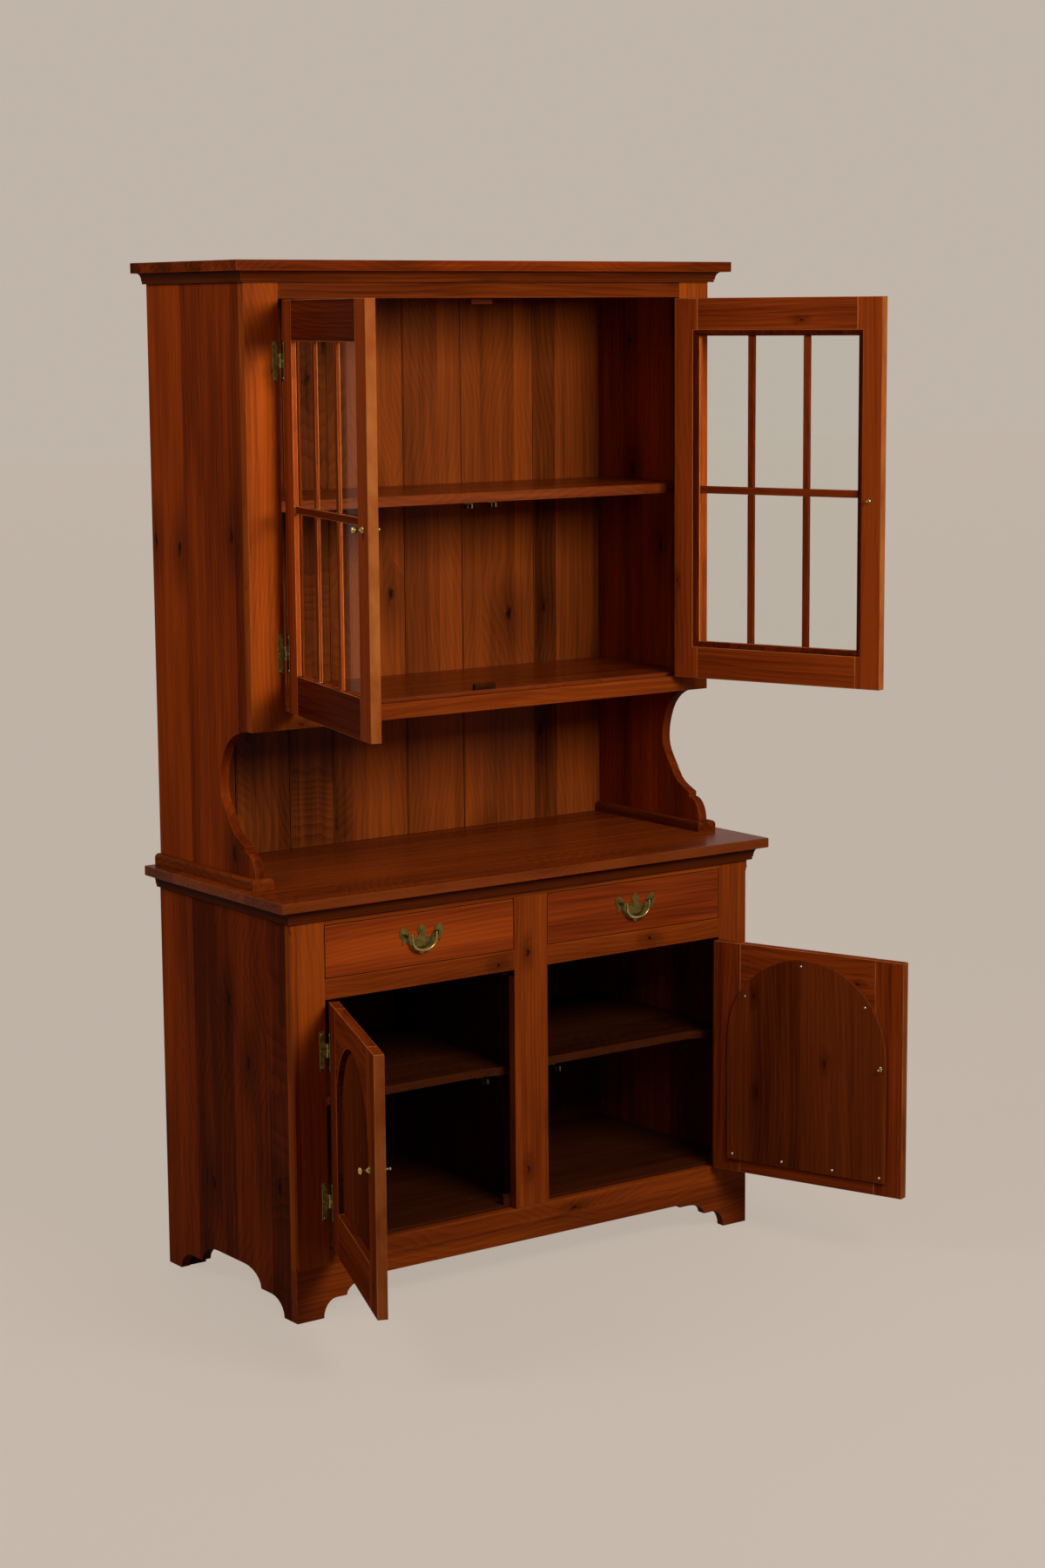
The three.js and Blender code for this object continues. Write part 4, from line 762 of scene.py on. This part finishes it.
def lathed(profile, segments=40):
    """A turned solid about the Y axis from (radius, depth) points that start and end on the axis."""
    bm = bmesh.new()
    rings = []
    turns = [2 * math.pi * i / segments for i in range(segments)]
    for radius, depth in profile:
        if radius < 1e-6:
            rings.append([bm.verts.new((0, depth, 0))])
        else:
            ring = [(radius * math.cos(turn), depth, radius * math.sin(turn)) for turn in turns]
            rings.append([bm.verts.new(point) for point in ring])
    for a, b in zip(rings, rings[1:]):
        for i in range(segments):
            k = (i + 1) % segments
            corners = [a[i % len(a)], a[k % len(a)], b[k % len(b)], b[i % len(b)]]
            unique = list(dict.fromkeys(corners))
            if len(unique) > 2:
                bm.faces.new(unique)
    bmesh.ops.recalc_face_normals(bm, faces=bm.faces)
    return bm


def curve_points(points, steps):
    """A smooth run through (radius, depth) points."""
    result = []
    ends = [points[0], *points, points[-1]]
    for i in range(len(points) - 1):
        for t in [step / steps for step in range(steps)]:
            result.append(tuple(
                0.5 * (2 * b + (c - a) * t + (2 * a - 5 * b + 4 * c - d) * t * t
                       + (3 * b - a - 3 * c + d) * t ** 3) for a, b, c, d in zip(*ends[i:i + 4])))
    return result + [points[-1]]


def make_knob(name):
    """A turned brass knob with its rosette outside, and its bolt and round stud inside."""
    tier = tier_of(name)
    spot = Matrix.Translation((DOOR_END[tier] - KNOB_INSET[tier], 0, KNOB_HEIGHT[tier]))
    face = PIN_REACH - 0.0003
    inside = DOOR_BACK + BACK_PROUD[tier]
    head = curve_points([(0.0030, -0.0065), (0.0031, -0.0095), (0.0052, -0.0128), (0.0068, -0.0155),
                         (0.0062, -0.0186), (0.0040, -0.0208)], 5)
    profile = [(0, face), (0.0065, face), (0.0065, face - 0.0010), (0.0055, face - 0.0018),
               (0.0056, face - 0.0026), (0.0040, face - 0.0034)]
    profile += [(r, face + d) for r, d in head] + [(0, face - 0.0214)]
    bolt = [(0, face), (0.0024, face), (0.0024, inside), (0, inside)]
    nut = [(0, inside), (0.0045, inside), (0.0045, inside + 0.0012), (0.0034, inside + 0.0022),
           (0, inside + 0.0022)]
    reach = inside + STUD_REACH
    ball = [(STUD_BALL * math.sin(math.pi * i / 12), reach - STUD_BALL * math.cos(math.pi * i / 12))
            for i in range(13)]
    ball[0], ball[-1] = (0, ball[0][1]), (0, ball[-1][1])
    stem = [(0, inside + 0.002), (0.0016, inside + 0.002), (0.0016, reach), (0, reach)]
    shell = Shell()
    for part in (lathed(profile), lathed(bolt, 20), lathed(nut, 28), lathed(stem, 20), lathed(ball, 24)):
        part.transform(spot)
        shell.take(moved(part, DOOR_PLACES[name]))
    shell.piece(name + "_door_turned_knob", name + "_door", "bright_brass", name + "_door_knob")


# ---------- hinges, catches and pulls ----------

def make_hinges(name):
    """The leaves of both hinges of a door, each on the body that it is screwed to."""
    for where in ("lower", "upper"):
        for leaf, body in (("case", "carcass"), ("door", name + "_door")):
            node = f"{name}_{where}_hinge_{leaf}_leaf"
            shell = Shell().take(cut_board(node, width=0.0003, segments=1))
            shell.piece(node + "_brass", body, "brass", node, smooth=34)


def bent_strip(plan, thickness, z0, z1):
    """A strip of sheet metal standing between two heights, bent to a plan of (x, y) points."""
    bm = bmesh.new()
    columns = []
    for i, (x, y) in enumerate(plan):
        ahead = Vector(plan[min(i + 1, len(plan) - 1)]) - Vector(plan[max(i - 1, 0)])
        out = Vector((-ahead.y, ahead.x)).normalized() * thickness / 2
        columns.append([bm.verts.new((x + side * out.x, y + side * out.y, z))
                        for side, z in ((1, z0), (1, z1), (-1, z1), (-1, z0))])
    for a, b in zip(columns, columns[1:]):
        for i in range(4):
            k = (i + 1) % 4
            bm.faces.new((a[i], a[k], b[k], b[i]))
    bm.faces.new(columns[0])
    bm.faces.new(columns[-1][::-1])
    bmesh.ops.recalc_face_normals(bm, faces=bm.faces)
    return bm


def make_catches():
    """Under each shelf front, a spring clip of two bowed prongs that grips the stud of a shut door."""
    for name, door in DOORS.items():
        tier = tier_of(name)
        x = door["pin"][0] + door["side"] * (DOOR_END[tier] - KNOB_INSET[tier])
        shelf_front, under = SHELF_EDGE[tier]
        ball = door["pin"][1] + DOOR_BACK + BACK_PROUD[tier] + STUD_REACH
        shell = Shell()
        middle = shelf_front + 0.0085
        plate = bent_strip([(x - 0.0085, middle), (x + 0.0085, middle)], 0.015, under - 0.0008, under)
        soften(plate, 0.0002, 1)
        shell.take(plate)
        for side in (-1, 1):
            plan = [(0.0050, shelf_front + 0.009), (0.0050, shelf_front + 0.0005), (0.0047, ball + 0.0026),
                    (0.0041, ball + 0.0010), (0.0038, ball - 0.0006), (0.0042, ball - 0.0020),
                    (0.0058, ball - 0.0034)]
            prong = [(x + side * reach, y) for reach, y in plan]
            shell.take(bent_strip(prong, 0.0007, under - 0.0096, under - 0.0008))
        shell.piece(name + "_door_catch", "carcass", "bright_brass")


def make_drawers():
    """For each drawer its front, its box and the plate of its pull."""
    for side, centre in PULL_CENTRES.items():
        body = side + "_drawer"
        # The tone of the front holds painted light on the left drawer and painted shade on the right.
        front = Shell().cut(body + "_front", [((), "zyx", DRAWER_TONES[side])], width=0.0018)
        front.piece(body + "_front_board", body, "drawer_wood", body + "_front")
        node = body + "_box"
        low, high = centre - BOX_HALF, centre + BOX_HALF
        span = between("x", low, high)
        walls = Shell().cut(node, [
            (between("x", None, low), "zxy"),
            (between("x", high, None), "zxy"),
            (span + between("y", BOX_BACK, None), "zyx"),
            (span + between("y", None, BOX_BACK), "yzx"),
        ])
        walls.piece(node + "_boards", body, "box_wood", node)
        plate = side + "_pull_plate"
        Shell().take(cut_board(plate, width=0.0005)).piece(plate + "_cast", body, "plate_brass", plate)


def set_input(modifier, tree, name, value):
    """Sets a Geometry Nodes input by its label."""
    for item in tree.interface.items_tree:
        if item.item_type == "SOCKET" and item.in_out == "INPUT" and item.name == name:
            modifier[item.identifier] = value
            return
    raise KeyError(name)


def geometry_tree(name, inputs):
    shape = "NodeSocketGeometry"
    return group_of(name, {"Geometry": shape, **inputs}, ("Geometry",), "GeometryNodeTree", shape)


def screw_tree():
    """A slotted countersunk screw head on each point, facing along the point's own direction."""
    tree, w, gin, gout = geometry_tree("screw_heads", {
        "Head Radius": 0.0026, "Head Height": 0.0008, "Slot Width": 0.0007, "Finish": "NodeSocketMaterial"})
    radius, height = gin["Head Radius"], gin["Head Height"]
    head = w.first("GeometryNodeMeshCone", {
        "Vertices": 20, "Side Segments": 1, "Fill Segments": 1, "Radius Bottom": radius, "Depth": height,
        "Radius Top": w.times(radius, 0.72)})
    slot_size = w.joined(w.times(radius, 3.0), gin["Slot Width"], height)
    slot = w.first("GeometryNodeMeshCube", {"Size": slot_size})
    lifted = w.first("GeometryNodeTransform", {
        "Geometry": slot, "Translation": w.joined(0.0, 0.0, w.times(height, 1.05))})
    slotted = w.first("GeometryNodeMeshBoolean", {"Mesh 1": head, "Mesh 2": lifted}, operation="DIFFERENCE")
    facing = w.first("GeometryNodeInputNamedAttribute", {"Name": "facing"}, data_type="FLOAT_VECTOR")
    turn = w.first("FunctionNodeAlignEulerToVector", {"Vector": facing}, axis="Z")
    spin = w.node("FunctionNodeRandomValue", {"Seed": 7, 2: 0.0, 3: math.pi}, data_type="FLOAT").outputs[1]
    heads = w.first("GeometryNodeInstanceOnPoints", {
        "Points": gin["Geometry"], "Instance": slotted, "Rotation": turn})
    spun = w.first("GeometryNodeRotateInstances", {
        "Instances": heads, "Rotation": w.joined(0.0, 0.0, spin)})
    real = w.first("GeometryNodeRealizeInstances", {"Geometry": spun})
    painted = w.first("GeometryNodeSetMaterial", {"Geometry": real, "Material": gin["Finish"]})
    w.fill(gout, {"Geometry": painted})
    return tree


def bar_tree():
    """A round bar swept along a path whose points carry their own thickness."""
    tree, w, gin, gout = geometry_tree("swept_bar", {"Sides": 20, "Finish": "NodeSocketMaterial"})
    path = w.first("GeometryNodeMeshToCurve", {"Mesh": gin["Geometry"]})
    thick = w.first("GeometryNodeInputNamedAttribute", {"Name": "thickness"}, data_type="FLOAT")
    sized = w.first("GeometryNodeSetCurveRadius", {"Curve": path, "Radius": thick})
    ring = w.first("GeometryNodeCurvePrimitiveCircle", {"Resolution": gin["Sides"], "Radius": 1.0})
    bar = w.first("GeometryNodeCurveToMesh", {
        "Curve": sized, "Profile Curve": ring, "Fill Caps": True, "Scale": thick})
    painted = w.first("GeometryNodeSetMaterial", {"Geometry": bar, "Material": gin["Finish"]})
    w.fill(gout, {"Geometry": painted})
    return tree


def grown(name, points, edges, values, tree, settings):
    """The plain mesh that a Geometry Nodes tree makes from points that carry the given values."""
    seed = bpy.data.meshes.new(name + "_seed")
    seed.from_pydata([tuple(p) for p in points], edges, [])
    for label, kind, data in values:
        layer = seed.attributes.new(label, kind, "POINT")
        layer.data.foreach_set("vector" if kind == "FLOAT_VECTOR" else "value", data)
    holder = put_in_scene(name + "_seed", seed)
    modifier = holder.modifiers.new("grow", "NODES")
    modifier.node_group = tree
    for label, value in settings.items():
        set_input(modifier, tree, label, value)
    graph = bpy.context.evaluated_depsgraph_get()
    mesh = bpy.data.meshes.new_from_object(holder.evaluated_get(graph))
    bpy.data.objects.remove(holder)
    mesh.name = name
    return put_in_scene(name, mesh)


SCREWS = screw_tree()
SWEPT_BAR = bar_tree()


def make_screws():
    """Three screws in each hinge leaf, and the screws that hold the raised panels."""
    places = {}
    for name, door in DOORS.items():
        moving, pin = DOOR_PLACES[name].out, pin_of(door)
        turn = moving.to_3x3()
        on_case = places.setdefault(("carcass", "hinge", "brass"), [])
        on_door = places.setdefault((name + "_door", "hinge", "brass"), [])
        for start in HINGE_STARTS[tier_of(name)]:
            for share, inset in HINGE_SCREWS:
                z = start + share * HINGE_LENGTH
                on_case.append((pin @ Vector((-inset, PIN_REACH - 0.0016, z)), Vector((0, -1, 0))))
                on_door.append((moving @ Vector((inset, PIN_REACH - 0.0019, z)), turn @ Vector((0, -1, 0))))
        if tier_of(name) == "lower":
            back = DOOR_BACK + BACK_PROUD["lower"] - 0.0003
            places[name + "_door", "panel", "steel"] = [
                (moving @ Vector((x, back, z)), turn @ Vector((0, 1, 0))) for x, z in PANEL_SCREWS]
    for (body, use, finish), heads in places.items():
        screws = grown(f"{body}_{use}_screws", [p for p, _ in heads], [],
                       [("facing", "FLOAT_VECTOR", [c for _, n in heads for c in n])], SCREWS,
                       {"Finish": FINISH[finish]})
        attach(screws, body)


def make_bails():
    """Drooping bow of a drawer pull, thicker in its middle, with a pin into each post."""
    for side, centre in PULL_CENTRES.items():
        depth = FRONT_LOWER - 0.011
        points, thick = [], []
        for i in range(1, BOW_STEPS):
            turn = math.pi * i / BOW_STEPS
            swell = math.sin(turn)
            points.append((centre + BOW_HALF * math.cos(turn), depth,
                           PULL_HEIGHT - BOW_DROP * swell ** 0.6))
            thick.append(0.0021 + 0.0013 * swell ** 3)
        right, left = [[(centre + end * reach, depth, PULL_HEIGHT + drop) for reach, drop, _ in BAIL_PIN]
                       for end in (1, -1)]
        sizes = [size for _, _, size in BAIL_PIN]
        points = right[::-1] + points + left
        thick = sizes[::-1] + thick + sizes
        edges = [(i, i + 1) for i in range(len(points) - 1)]
        bow = grown(side + "_bail_bow", points, edges, [("thickness", "FLOAT", thick)], SWEPT_BAR,
                    {"Finish": FINISH["bright_brass"]})
        bow.data.shade_smooth()
        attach(bow, side + "_bail")
        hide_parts(side + "_pull_bail")


make_lower_case()
make_upper_case()
for door_name in ("upper_left", "upper_right"):
    make_upper_door(door_name)
for door_name in ("lower_left", "lower_right"):
    make_lower_door(door_name)
for door_name in DOORS:
    make_knob(door_name)
    make_hinges(door_name)
make_catches()
make_drawers()
make_screws()
make_bails()


# ---------- stage ----------

# The camera as fitted to the photograph: place in metres, then yaw, pitch and roll in radians
VIEWPOINT = (-3.4457, -4.9858, 1.881)
VIEW_ANGLES = (0.628, -0.1528, 0.0071)
FOCAL_PIXELS = 3508.37
CENTRE_SHIFT_PIXELS = -7.06
PHOTO_HEIGHT = 1800
SENSOR_HEIGHT = 24
# The floor and the surround, each with a colour that is seen and one that only lights the wood
FLOOR_REACH = 30
SEEN_FLOOR, HIDDEN_FLOOR = (0.20, 0.17, 0.145, 1), (0.14, 0.10, 0.07, 1)
SEEN_AIR, HIDDEN_AIR = (0.53, 0.46, 0.40, 1), (1.0, 0.95, 0.88, 1)
FLOOR_GLOW = 0.80
FILL_STRENGTH = 0.13
LAMP_COLOUR = (1.0, 0.97, 0.92)


def seen_directly(w):
    """1 for rays that show the surroundings themselves: straight, mirrored or through glass."""
    path = w.node("ShaderNodeLightPath").outputs
    mirrored = w.math("MAXIMUM", path["Is Glossy Ray"], path["Is Transmission Ray"])
    return w.math("MAXIMUM", path["Is Camera Ray"], mirrored)


def make_stage():
    mesh = bpy.data.meshes.new("studio_floor")
    corners = [(x * FLOOR_REACH, y * FLOOR_REACH, 0) for x, y in ((-1, -1), (1, -1), (1, 1), (-1, 1))]
    mesh.from_pydata(corners, [], [(0, 1, 2, 3)])
    floor = put_in_scene("studio_floor", mesh)
    made, w, shader = new_material("pale_floor")
    seen = seen_directly(w)
    w.fill(shader.inputs, {
        "Base Color": w.mixed(seen, HIDDEN_FLOOR, SEEN_FLOOR), "Roughness": 0.7, "Specular IOR Level": 0.1,
        "Emission Color": (0.58, 0.50, 0.43, 1), "Emission Strength": w.times(seen, FLOOR_GLOW)})
    mesh.materials.append(made)


def make_world():
    world = bpy.data.worlds.new("soft_surround")
    bpy.context.scene.world = world
    world.use_nodes = True
    w = Wiring(world.node_tree)
    seen = seen_directly(w)
    w.fill(world.node_tree.nodes["Background"].inputs, {
        "Color": w.mixed(seen, HIDDEN_AIR, SEEN_AIR),
        "Strength": w.ranged(seen, 0.0, 1.0, FILL_STRENGTH, 1.0)})


def make_lamp(name, place, target, size, power):
    """A broad soft lamp that faces its target and isn't seen itself."""
    data = bpy.data.lights.new(name, "AREA")
    data.shape = "RECTANGLE"
    data.size, data.size_y = size
    data.energy = power
    data.color = LAMP_COLOUR
    lamp = put_in_scene(name, data)
    lamp.location = place
    lamp.rotation_euler = (Vector(target) - Vector(place)).to_track_quat("-Z", "Y").to_euler()
    lamp.visible_camera = False


def make_camera():
    """The photograph's own viewpoint: to the left of the case, a little below its crown, looking down."""
    yaw, pitch, roll = VIEW_ANGLES
    ahead = Vector((math.sin(yaw) * math.cos(pitch), math.cos(yaw) * math.cos(pitch), math.sin(pitch)))
    right = Vector((math.cos(yaw), -math.sin(yaw), 0))
    down = ahead.cross(right)
    rolled_right = right * math.cos(roll) + down * math.sin(roll)
    rolled_down = down * math.cos(roll) - right * math.sin(roll)
    data = bpy.data.cameras.new("viewpoint")
    data.sensor_fit = "VERTICAL"
    data.sensor_height = SENSOR_HEIGHT
    data.lens = FOCAL_PIXELS / PHOTO_HEIGHT * SENSOR_HEIGHT
    data.shift_x = CENTRE_SHIFT_PIXELS / PHOTO_HEIGHT
    camera = put_in_scene("viewpoint", data)
    turn = Matrix((rolled_right, -rolled_down, -ahead)).transposed().to_4x4()
    camera.matrix_world = Matrix.Translation(VIEWPOINT) @ turn
    bpy.context.scene.camera = camera


make_stage()
make_world()
make_lamp("key_light", (0.15, -3.0, 2.5), (0, 0, 1.9), (1.5, 1.1), 52)
make_lamp("side_fill", (-3.0, 0.1, 2.9), (-0.5, 0, 1.7), (1.6, 1.4), 24)
make_camera()
bpy.context.scene.view_settings.view_transform = "Standard"
